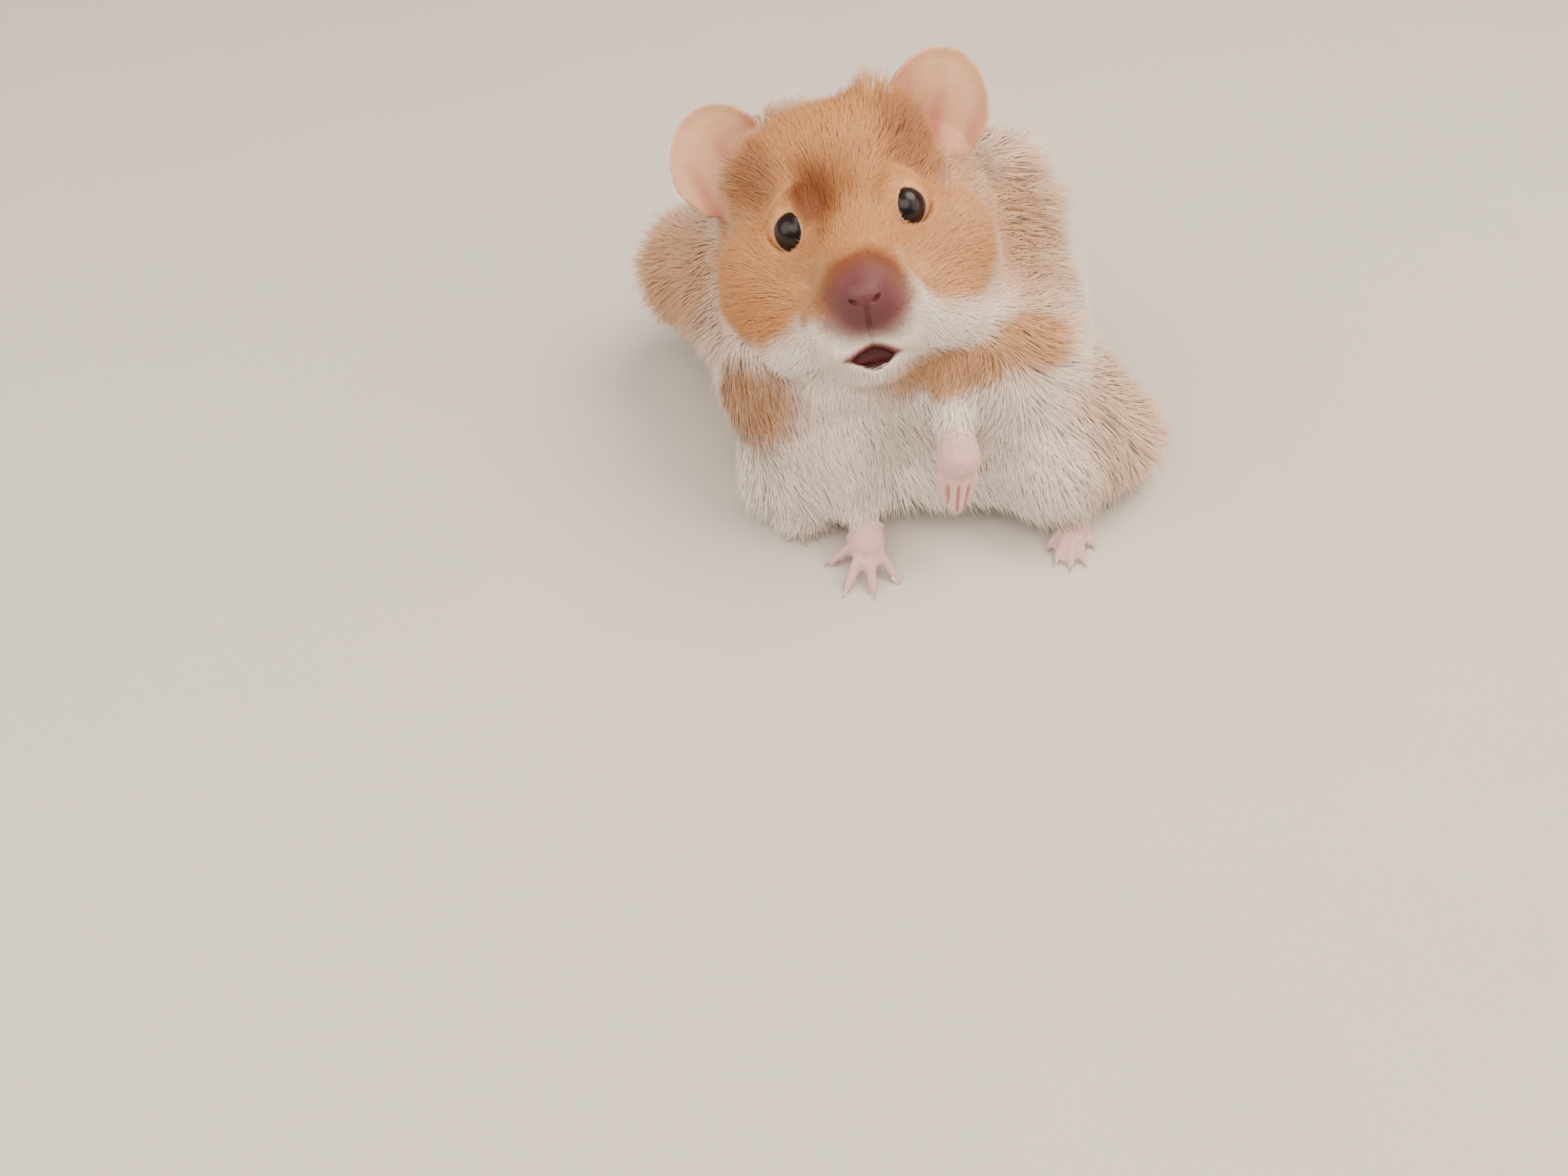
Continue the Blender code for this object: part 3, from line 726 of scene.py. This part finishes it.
def markings_at(values):
    """Gold, brown, mauve and a random tone, for points in the head's mm."""
    bays = np.column_stack([waves(values, RAGGED_SCALE, seed) for seed in (1, 2, 3)])
    ragged = values + RAGGED * bays
    gold = patched(ragged, GOLD_PATCHES)
    brown = patched(ragged, BROWN_PATCHES)
    mauve = patched(values + 0.3 * (ragged - values), MAUVE_PATCHES)
    return np.column_stack((gold, brown, mauve, 0.5 + 0.5 * waves(values, TONE_SCALE, 4)))


def store(mesh, name, kind, values):
    """Keeps a value or a colour at each corner of a mesh."""
    attribute = mesh.attributes.new(name, kind, "POINT")
    key = "color" if kind == "FLOAT_COLOR" else "value"
    attribute.data.foreach_set(key, np.ascontiguousarray(values, np.float32).ravel())


points = points_of(skin.data)
normals = normals_of(skin.data)
smoother = Smoother(skin.data)
head_points = in_head(points)
bareness = smoother.smooth(mask_of(parts, THIN), 12)
# Dark red in the mouth, the colour of its inside, and in the nostrils as painted shade.
mouth_red_and_nostril_shade = np.maximum(in_mouth, 0.6 * (1 - smoothstep(0.6, 1.1, in_nostril)))
store(skin.data, "markings", "FLOAT_COLOR", markings_at(head_points))
store(skin.data, "bareness", "FLOAT", bareness)
store(skin.data, "flush_and_crease_shade", "FLOAT", flush_and_crease_shade)
store(skin.data, "hands", "FLOAT", smoother.smooth(hands, 12))
store(skin.data, "mouth_red_and_nostril_shade", "FLOAT", mouth_red_and_nostril_shade)


def clouded(tree, clouds_to_mm, detail, colour, other):
    """A colour that drifts into another one in soft clouds."""
    place = add_node(tree, "ShaderNodeTexCoord")
    clouds = add_node(
        tree,
        "ShaderNodeTexNoise",
        {"Scale": clouds_to_mm / MM, "Detail": detail},
        {"Vector": place.outputs["Object"]},
    )
    mix = add_node(
        tree,
        "ShaderNodeMix",
        {"data_type": "RGBA", MIX_A: linear(colour), MIX_B: linear(other)},
        {MIX_SHARE: clouds.outputs["Fac"]},
    )
    return mix.outputs[MIX_RESULT]


def laid_over(tree, colour, layers):
    """A colour with others laid over it in turn, each as far as its own share says."""
    for share, over in layers:
        mix = add_node(
            tree,
            "ShaderNodeMix",
            {"data_type": "RGBA", MIX_B: linear(over)},
            {MIX_SHARE: share, MIX_A: colour},
        )
        colour = mix.outputs[MIX_RESULT]
    return colour


# The markings keep how golden, brown and mauve a point is in their red, green and blue.
WHITE_COAT = "#FDF2E5"
MARKED_COAT = {"Red": "#C68D59", "Green": "#78431F", "Blue": "#603438"}


def coat_colour(tree, markings):
    """The colour of hide or hair from its markings: gold, brown and mauve in turn over white."""
    split = add_node(tree, "ShaderNodeSeparateColor", links={"Color": markings.outputs["Color"]})
    white = add_node(tree, "ShaderNodeRGB")
    white.outputs["Color"].default_value = linear(WHITE_COAT)
    layers = [(split.outputs[channel], over) for channel, over in MARKED_COAT.items()]
    return laid_over(tree, white.outputs["Color"], layers)


# Living skin: thin, soft and a little moist, pink where blood shows through it. It has fine
# pores and creases, and under the hair it takes the hair's own colour. Red painted shade lies in
# the ears' folds and between the fingers, and darker painted shade in the nostrils.
BLOTCHES = 0.4  # to the mm
PORES = 2.6  # to the mm
PORE_DEPTH = 0.2  # mm
hide, tree = new_material("living_skin")
markings = add_node(tree, "ShaderNodeAttribute", {"attribute_name": "markings"})
shares = {
    name: add_node(tree, "ShaderNodeAttribute", {"attribute_name": name}).outputs["Fac"]
    for name in ("bareness", "hands", "flush_and_crease_shade", "mouth_red_and_nostril_shade")
}
pale_skin = clouded(tree, BLOTCHES, 5, "#E0BA95", "#CDA07A")
# Bare skin is pinker on the hands and red where flushed; in the ears' folds and between the fingers
# that red is painted shade.
bare_skin = laid_over(
    tree, pale_skin, ((shares["hands"], "#CDAAA7"), (shares["flush_and_crease_shade"], "#A65C4E"))
)
outer = add_node(
    tree,
    "ShaderNodeMix",
    {"data_type": "RGBA"},
    {MIX_SHARE: shares["bareness"], MIX_A: coat_colour(tree, markings), MIX_B: bare_skin},
)
# The mouth's inside takes its dark red, and the nostrils the same as painted shade.
skin_colour = laid_over(tree, outer.outputs[MIX_RESULT], ((shares["mouth_red_and_nostril_shade"], "#7E4A4A"),))
place = add_node(tree, "ShaderNodeTexCoord")
pores = add_node(
    tree,
    "ShaderNodeTexNoise",
    {"Scale": PORES / MM, "Detail": 3},
    {"Vector": place.outputs["Object"]},
)
relief = add_node(
    tree,
    "ShaderNodeBump",
    {"Strength": 0.35, "Distance": PORE_DEPTH * MM},
    {"Height": pores.outputs["Fac"]},
)
flesh = add_node(
    tree,
    "ShaderNodeBsdfPrincipled",
    {
        "Roughness": 0.5,
        "IOR": 1.4,
        "Subsurface Weight": 0.25,
        "Subsurface Radius": (0.0012, 0.0006, 0.0004),
        "Subsurface Scale": 1.0,
    },
    {"Base Color": skin_colour, "Normal": relief.outputs["Normal"]},
)
add_node(tree, "ShaderNodeOutputMaterial", links={"Surface": flesh.outputs["BSDF"]})
skin.data.materials.clear()
skin.data.materials.append(hide)
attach(skin, "root")
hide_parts(*PART_NAMES)

# ---------------------------------------------------------------------------------------------
# The eyes: wet balls, nearly black, with a deep brown painted where they turn away as rim light.
# Each sits in a thin pale lid that runs round it as a soft ring. The ball is turned from a full
# sphere with a slightly raised cornea.
CORNEA_START = 0.6  # of the radius, from the middle towards the front
CORNEA_RISE = 0.12
LID_THICKNESS = 0.2  # mm
LID_OUTSIDE = 0.05  # mm, from the opening out to the ring
LID_OFF_BALL = 0.1  # mm
RING = 2.0  # mm, the radius of a lid's ring before it is bent to the opening
LID_BLOTCHES = 0.9  # to the mm

# A wet eye: nearly black in front, with a deep warm brown painted where it turns away as rim
# light. Its shine is broad, as that of an eye under soft light.
eye_black, tree = new_material("wet_dark_eye")
rim_light = add_node(tree, "ShaderNodeLayerWeight", {"Blend": 0.35})
depth = add_node(
    tree,
    "ShaderNodeMix",
    {"data_type": "RGBA", MIX_A: linear("#100A09"), MIX_B: linear("#2E1B15")},
    {MIX_SHARE: rim_light.outputs["Facing"]},
)
wet = add_node(
    tree,
    "ShaderNodeBsdfPrincipled",
    {"Roughness": 0.3, "IOR": 1.36, "Coat Weight": 0.12, "Coat Roughness": 0.1},
    {"Base Color": depth.outputs[MIX_RESULT]},
)
add_node(tree, "ShaderNodeOutputMaterial", links={"Surface": wet.outputs["BSDF"]})

# The lid's bare rim: fine moist skin, blotched from cream to light brown.
lid_skin, tree = new_material("eyelid_skin")
lid_colour = clouded(tree, LID_BLOTCHES, 3, "#C8A58A", "#97745E")
moist = add_node(tree, "ShaderNodeBsdfPrincipled", {"Roughness": 0.4}, {"Base Color": lid_colour})
add_node(tree, "ShaderNodeOutputMaterial", links={"Surface": moist.outputs["BSDF"]})

for side, name in ((1, "left"), (-1, "right")):
    low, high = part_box("eye_" + name)
    radius = (high.x - low.x) / 2
    middle, axes = eye_axes(side)
    look = Matrix(axes).transposed().to_4x4()
    stand = HEAD @ Matrix.Translation(middle) @ look
    ball = bmesh.new()
    bmesh.ops.create_uvsphere(ball, u_segments=40, v_segments=24, radius=radius / MM)
    for vert in ball.verts:
        bulge = max(0, vert.co.z / (radius / MM) - CORNEA_START)
        vert.co *= 1 + CORNEA_RISE * bulge * bulge
    ball.transform(stand)
    mesh = mesh_of(ball, "eyeball_" + name)
    mesh.shade_smooth()
    mesh.materials.append(eye_black)
    eyeball = placed("eyeball_" + name, mesh)
    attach(eyeball, "root")
    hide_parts("eye_" + name)

    ring = bmesh.new()
    bmesh.ops.create_circle(ring, segments=8, radius=LID_THICKNESS)
    ring.transform(Matrix.Translation((RING, 0, 0)) @ Matrix.Rotation(math.pi / 2, 4, "X"))
    bmesh.ops.spin(
        ring,
        geom=ring.verts[:] + ring.edges[:],
        axis=(0, 0, 1),
        cent=(0, 0, 0),
        steps=48,
        angle=2 * math.pi,
        use_merge=True,
    )
    for vert in ring.verts:
        out = vert.co.xy.length
        way = vert.co.xy / out
        edge_at = 1 / opening_share(way.x, way.y) + LID_OUTSIDE
        vert.co.x, vert.co.y = way * (edge_at + out - RING)
        vert.co.z += math.sqrt((radius / MM + LID_OFF_BALL) ** 2 - edge_at**2)
    bmesh.ops.recalc_face_normals(ring, faces=ring.faces)
    ring.transform(stand)
    mesh = mesh_of(ring, "eyelid_" + name)
    mesh.shade_smooth()
    mesh.materials.append(lid_skin)
    lid = placed("eyelid_" + name, mesh)
    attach(lid, "root")

# ---------------------------------------------------------------------------------------------
# The claws: slender curved horn points, pale and half clear, one on each digit's tip. They are
# cones that bend down along the toe, and each ends where its digit's solid does.
CLAW_LENGTH = 2.1  # mm
CLAW_RADIUS = 0.42  # mm
CLAW_POINT = 0.03  # mm
CLAW_BEND = 0.5  # mm down at its point
CLAW_CLEAR = 0.1  # mm above the floor
HORN_CLOUDS = 1.5  # to the mm
PAWS = {  # how many digits, and the least space in mm between two tips
    "forepaw_left": (4, 1.1),
    "forepaw_right": (4, 2.0),
    "hind_foot_left": (5, 1.6),
    "hind_foot_right": (5, 1.6),
}

# Horn: smooth pale keratin, a little clouded, with a soft shine.
claw_horn, tree = new_material("claw_horn")
horn = clouded(tree, HORN_CLOUDS, 2, "#F2E9DF", "#E0CCBC")
keratin = add_node(
    tree, "ShaderNodeBsdfPrincipled", {"Roughness": 0.3, "IOR": 1.5}, {"Base Color": horn}
)
add_node(tree, "ShaderNodeOutputMaterial", links={"Surface": keratin.outputs["BSDF"]})


def digit_tips(node, count, space):
    """The tips of a paw's digits and the way that each points, from the solid's far points."""
    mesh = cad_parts[node].data
    cloud = points_of(mesh) / MM
    heel = cloud[np.argmax(cloud[:, 1])]
    middle = cloud.mean(0)
    reach = np.linalg.norm(cloud - heel, axis=1)
    tips = []
    while len(tips) < count:
        best = int(np.argmax(reach))
        tips.append((cloud[best], unit(cloud[best] - middle)))
        reach[np.linalg.norm(cloud - cloud[best], axis=1) < space] = 0
    return tips


claws = bmesh.new()
for node, (count, space) in PAWS.items():
    for tip, way in digit_tips(node, count, space):
        claw = bmesh.new()
        bmesh.ops.create_cone(
            claw,
            cap_ends=True,
            segments=8,
            radius1=CLAW_RADIUS,
            radius2=CLAW_POINT,
            depth=CLAW_LENGTH,
        )
        cut_at = [edge for edge in claw.edges if abs((edge.verts[0].co - edge.verts[1].co).z) > 0.5]
        bmesh.ops.subdivide_edges(claw, edges=cut_at, cuts=4)
        for vert in claw.verts:
            share = vert.co.z / CLAW_LENGTH + 0.5
            vert.co.y -= CLAW_BEND * share * share
            vert.co.z -= CLAW_LENGTH / 2
        forward = Vector(way)
        side_way = forward.cross(Vector((0, 0, 1))).normalized()
        up_way = side_way.cross(forward)
        axes = Matrix((side_way, up_way, forward)).transposed().to_4x4()
        claw.transform(Matrix.Translation(Vector(tip)) @ axes)
        mesh = mesh_of(claw, "claw")
        claws.from_mesh(mesh)
        bpy.data.meshes.remove(mesh)
claws.transform(Matrix.Scale(MM, 4))
bmesh.ops.recalc_face_normals(claws, faces=claws.faces)
for vert in claws.verts:
    vert.co.z = max(vert.co.z, CLAW_CLEAR * MM)
mesh = mesh_of(claws, "claws")
mesh.shade_smooth()
mesh.materials.append(claw_horn)
claw_piece = placed("claws", mesh)
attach(claw_piece, "root")

# ---------------------------------------------------------------------------------------------
# The coat: soft medium-long hair. Each lock is a thin closed blade of three sides that is
# rooted in the skin, lies along the body and tapers to a point. Locks run away from the nose,
# down the chest and legs and back to the rump, and their points draw together in clumps.
PIECE_LOCKS = 18000  # locks in one piece of the coat
LOCK_RINGS = (0.45,)  # of a lock's length
LOCK_WIDTHS = (0.7, 1.0)  # of its full width, at its root and its ring
PATCH = 0.003  # of the unwrap, across one lock's patch
ROOT_SINK = 0.25  # mm of each lock below the hide
FLOOR_CLEAR = 0.15  # mm
MARKED_AT = 0.6  # of a lock's length, where its place in the markings is taken
HIDE_SHARE = 0.8  # how far a lock that lies flat is shaded like the hide under it
COMB_PASSES = 16  # of smoothing, over the way that the hair lies
WHORL = 0.30  # radians that whole stretches of hair turn aside
WHORL_SCALE = 9  # mm
STRAY = 0.12  # radians that single locks turn aside
LENGTH_SPAN = (0.72, 1.12)  # of the length that a lock's place gives it
LIFT_SPAN = (0.65, 1.35)  # of the lift that it gives
BEND = 0.10  # of a lock's length, sideways
ARCH = 0.35  # how much more steeply a lock rises at its root than on average
SOFT_LENGTH = 8  # mm, from which locks are free to draw together
LEAD_SHARES = (0.08, 0.008)  # of all locks, those that the small and the large tufts gather to
random = np.random.default_rng(11)


def lock_template():
    """One lock of unit length along Z: its corners, its widths and its triangles."""
    form = bmesh.new()
    bmesh.ops.create_cone(form, cap_ends=True, segments=3, radius1=1, radius2=0, depth=1)
    bmesh.ops.remove_doubles(form, verts=form.verts, dist=0.001)
    for height in LOCK_RINGS:
        bmesh.ops.bisect_plane(
            form,
            geom=form.verts[:] + form.edges[:] + form.faces[:],
            plane_co=(0, 0, height - 0.5),
            plane_no=(0, 0, 1),
        )
    bmesh.ops.triangulate(form, faces=form.faces)
    bmesh.ops.recalc_face_normals(form, faces=form.faces)
    form.verts.index_update()
    corners = np.array([vert.co for vert in form.verts])
    triangles = np.array([[vert.index for vert in face.verts] for face in form.faces])
    form.free()
    along = corners[:, 2] + 0.5
    width = np.interp(along, (0, *LOCK_RINGS, 1), (*LOCK_WIDTHS, 0))
    around = unit(corners[:, :2] + 1e-9)
    return along, around * width[:, None], triangles


def combed(points, normals, parts):
    """The way the hair lies at each point of the skin, as unit vectors along it."""
    nose = np.array(middle_of("nose"))
    tail = np.array(middle_of("tail"))
    away = unit(points - nose)
    down = np.array([0, 0, -1.0])
    ways = away.copy()
    body = mask_of(parts, ("neck", "trunk", "rump")) > 0
    ways[body] += 0.5 * down + 0.5 * unit(tail - points[body])
    for name, target, share in (
        ("foreleg_left", "forepaw_left", 1.0),
        ("foreleg_right", "forepaw_right", 1.0),
        ("thigh_left", "hind_foot_left", 0.8),
        ("thigh_right", "hind_foot_right", 0.8),
    ):
        mine = parts == PART_NAMES.index(name)
        towards = unit(np.array(middle_of(target)) - points[mine])
        ways[mine] = (1 - share) * away[mine] + share * towards
    for name in ("forepaw_left", "forepaw_right", "hind_foot_left", "hind_foot_right"):
        ways[parts == PART_NAMES.index(name)] = (0, -0.9, -0.4)
    for name in ("ear_left", "ear_right"):
        mine = parts == PART_NAMES.index(name)
        ways[mine] = unit(points[mine] - OUT_OF_HEAD[:3, 3])
    for side in (1, -1):
        middle, axes = eye_axes(side)
        across, up, _ = ((in_head(points) - middle) @ axes.T).T
        near = np.exp(-np.maximum(opening_share(across, up) - 1, 0) / 0.3)
        near = near * (np.linalg.norm(in_head(points) - middle, axis=1) < 9)
        outward = (across[:, None] * axes[0] + up[:, None] * axes[1]) @ OUT_OF_HEAD[:3, :3].T
        ways = ways + 0.6 * near[:, None] * unit(outward)
    for _ in range(COMB_PASSES):
        ways = 0.4 * ways + 0.6 * smoother.average(ways)
        ways = ways - (ways * normals).sum(1)[:, None] * normals
    return unit(ways)


# Where locks are rooted: anywhere on the skin but the nose's tip, the nostrils, the mouth and the
# eyes, in proportion to each face's area and density.
ways = combed(points, normals, parts)
_, lengths, lifts, widths, densities = coat_at(head_points, parts, smoother)
bare_spot = (np.linalg.norm(head_points - np.array(NOSE_AT), axis=1) < 3.0) | (mouth_red_and_nostril_shade > 0.6)
for side in (1, -1):
    middle, axes = eye_axes(side)
    across, up, height = ((head_points - middle) @ axes.T).T
    bare_spot |= (opening_share(across, up) < 1.06) & (height > -3)
densities = densities * ~bare_spot

tufted = np.zeros(len(head_points))
for near, (_, _, extra, rise, _) in zip(near_tufts(head_points, parts), TUFTS.values()):
    lengths = lengths * (1 + extra * near)
    lifts = lifts + rise * near
    tufted = np.maximum(tufted, near)

triangles = np.empty(len(skin.data.polygons) * 3, np.int64)
skin.data.polygons.foreach_get("vertices", triangles)
triangles = triangles.reshape(-1, 3)
unwrap = np.empty(len(skin.data.loops) * 2)
skin.data.uv_layers["OFBake"].data.foreach_get("uv", unwrap)
unwrap = unwrap.reshape(-1, 3, 2)
first, second, third = (points[triangles[:, corner]] for corner in range(3))
areas = np.linalg.norm(np.cross(second - first, third - first), axis=1) / 2 / MM**2
expected = areas * densities[triangles].mean(1)
count = int(expected.sum())
chosen = np.searchsorted(np.cumsum(expected) / expected.sum(), random.uniform(size=count))
chosen = np.minimum(chosen, len(triangles) - 1)
weights = random.dirichlet((1, 1, 1), count)


def at_roots(values):
    """A value of the skin's corners, carried to the roots of the locks."""
    return np.einsum("ij,ij...->i...", weights, values[triangles[chosen]])


roots = at_roots(points) / MM
root_normals = unit(at_roots(normals))
root_ways = unit(at_roots(ways))
root_uv = np.einsum("ij,ijk->ik", weights, unwrap[chosen])
root_parts = parts[triangles[chosen, 0]]
root_lengths = at_roots(lengths)
root_lifts = np.radians(at_roots(lifts))
root_widths = at_roots(widths)
softness = np.clip(root_lengths / SOFT_LENGTH, 0, 1)

sides = np.cross(root_normals, root_ways)
turn = WHORL * waves(roots, WHORL_SCALE, 21) + STRAY * random.normal(size=count)
root_ways, sides = (
    np.cos(turn)[:, None] * root_ways + np.sin(turn)[:, None] * sides,
    np.cos(turn)[:, None] * sides - np.sin(turn)[:, None] * root_ways,
)
reach = root_lengths * random.uniform(*LENGTH_SPAN, count)
rise = root_lifts * random.uniform(*LIFT_SPAN, count)
bend = random.normal(0, BEND, count)

# Flat locks are shaded mostly like the hide under them, which keeps the coat soft. Steep ones and
# those of ears, feet and tail keep more of a shade of their own.
is_bare = mask_of(root_parts, THIN)
shaded_as_hide = HIDE_SHARE * (1 - 0.5 * smoothstep(0.45, 1.0, rise)) * (1 - 0.8 * is_bare)

# Points draw together: each lock leans to the nearest of many small leads, and less strongly
# to the nearest of a few large ones, which part the coat into tufts.
root_tufted = at_roots(tufted)
pull = np.zeros_like(roots)
strengths = (0.40 * softness, softness * (0.15 + 0.35 * root_tufted))
for share, strength in zip(LEAD_SHARES, strengths):
    leads = np.flatnonzero(random.uniform(size=count) < share)
    tree_of_leads = KDTree(len(leads))
    for index, lead in enumerate(leads):
        tree_of_leads.insert(roots[lead], index)
    tree_of_leads.balance()
    lead_of = leads[[tree_of_leads.find(root)[1] for root in roots]]
    pull += (roots[lead_of] - roots) * strength[:, None]
seen_at = in_head((roots + MARKED_AT * reach[:, None] * root_ways) * MM)
markings = markings_at(seen_at)
markings[:, 3] = random.uniform(size=count)

along, spread, lock_triangles = lock_template()
groups = {
    "coat_head": FACE + ["ear_left", "ear_right"],
    "coat_neck": ["neck"],
    "coat_trunk": ["trunk", "rump", "tail"],
    "coat_legs": [name for name in PART_NAMES if name.startswith(("fore", "thigh", "hind"))],
}

# Hair: a clear keratin sheath over a coloured core. It is soft and half matt, a little paler
# towards its point, and each lock differs slightly in tone.
ROOT_TONE = 0.88  # of its colour, beside 1 at the point
LOCK_TONE = 0.9  # of its colour, in the darkest lock
hair, tree = new_material("soft_hair")
marks = add_node(tree, "ShaderNodeAttribute", {"attribute_name": "markings"})
rise_of = add_node(tree, "ShaderNodeAttribute", {"attribute_name": "along"})
colour = coat_colour(tree, marks)
tone = add_node(
    tree, "ShaderNodeMapRange", {"To Min": ROOT_TONE}, {"Value": rise_of.outputs["Fac"]}
)
chance = add_node(
    tree, "ShaderNodeMapRange", {"To Min": LOCK_TONE}, {"Value": marks.outputs["Alpha"]}
)
both = add_node(
    tree,
    "ShaderNodeMath",
    {"operation": "MULTIPLY"},
    {0: tone.outputs["Result"], 1: chance.outputs["Result"]},
)
shaded = add_node(
    tree,
    "ShaderNodeMix",
    {"data_type": "RGBA", "blend_type": "MULTIPLY", MIX_SHARE: 1.0},
    {MIX_A: colour, MIX_B: both.outputs["Value"]},
)
sheath = add_node(
    tree,
    "ShaderNodeBsdfPrincipled",
    {
        "Roughness": 0.55,
        "IOR": 1.45,
        "Specular IOR Level": 0.25,
        "Sheen Weight": 0.1,
        "Sheen Roughness": 0.4,
    },
    {"Base Color": shaded.outputs[MIX_RESULT]},
)
add_node(tree, "ShaderNodeOutputMaterial", links={"Surface": sheath.outputs["BSDF"]})

# The locks themselves, sorted round the body so that each piece of a group is one stretch of it.
for group, members in groups.items():
    mine = np.flatnonzero(mask_of(root_parts, members))
    angle = np.arctan2(roots[mine, 1], roots[mine, 0])
    mine = mine[np.argsort(angle)]
    pieces = math.ceil(len(mine) / PIECE_LOCKS)
    for number, few in enumerate(np.array_split(mine, pieces)):
        far = along[None, :, None]
        length = reach[few, None, None]
        lift = rise[few, None, None]
        width = root_widths[few, None, None]
        out = root_normals[few, None, :]
        ahead = root_ways[few, None, :]
        aside = sides[few, None, :]
        corners = (
            roots[few, None, :]
            - out * ROOT_SINK
            + ahead * length * far * np.cos(lift)
            + out * length * np.sin(lift) * ((1 + ARCH) * far - ARCH * far * far)
            + aside * length * bend[few, None, None] * far * far
            + pull[few, None, :] * far * far
            + aside * spread[None, :, 0:1] * width / 2
            + out * spread[None, :, 1:2] * width / 4
        ).reshape(-1, 3)
        corners[:, 2] = np.maximum(corners[:, 2], FLOOR_CLEAR)
        size = len(along)
        faces = (lock_triangles[None] + size * np.arange(len(few))[:, None, None]).reshape(-1, 3)
        name = f"{group}_{number + 1}" if pieces > 1 else group
        mesh = bpy.data.meshes.new(name)
        mesh.vertices.add(len(corners))
        mesh.vertices.foreach_set("co", (corners * MM).ravel())
        mesh.loops.add(faces.size)
        mesh.loops.foreach_set("vertex_index", faces.ravel().astype(np.int32))
        mesh.polygons.add(len(faces))
        mesh.polygons.foreach_set("loop_start", np.arange(0, faces.size, 3, dtype=np.int32))
        mesh.update(calc_edges=True)
        store(mesh, "markings", "FLOAT_COLOR", np.repeat(markings[few], size, axis=0))
        store(mesh, "along", "FLOAT", np.tile(along, len(few)))
        patch = np.column_stack((spread[:, 0] / 2, along - 0.5)) * PATCH
        uv = (root_uv[few, None, :] + patch[None]).reshape(-1, 2)[faces.ravel()]
        mesh.uv_layers.new(name="OFBake").data.foreach_set("uv", uv.astype(np.float32).ravel())
        mesh.shade_smooth()
        own = normals_of(mesh).reshape(len(few), size, 3)
        share = shaded_as_hide[few, None, None]
        soft = unit((1 - share) * own + share * root_normals[few, None, :])
        mesh.normals_split_custom_set_from_vertices(soft.reshape(-1, 3))
        mesh.materials.append(hair)
        piece = placed(name, mesh)
        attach(piece, "root")
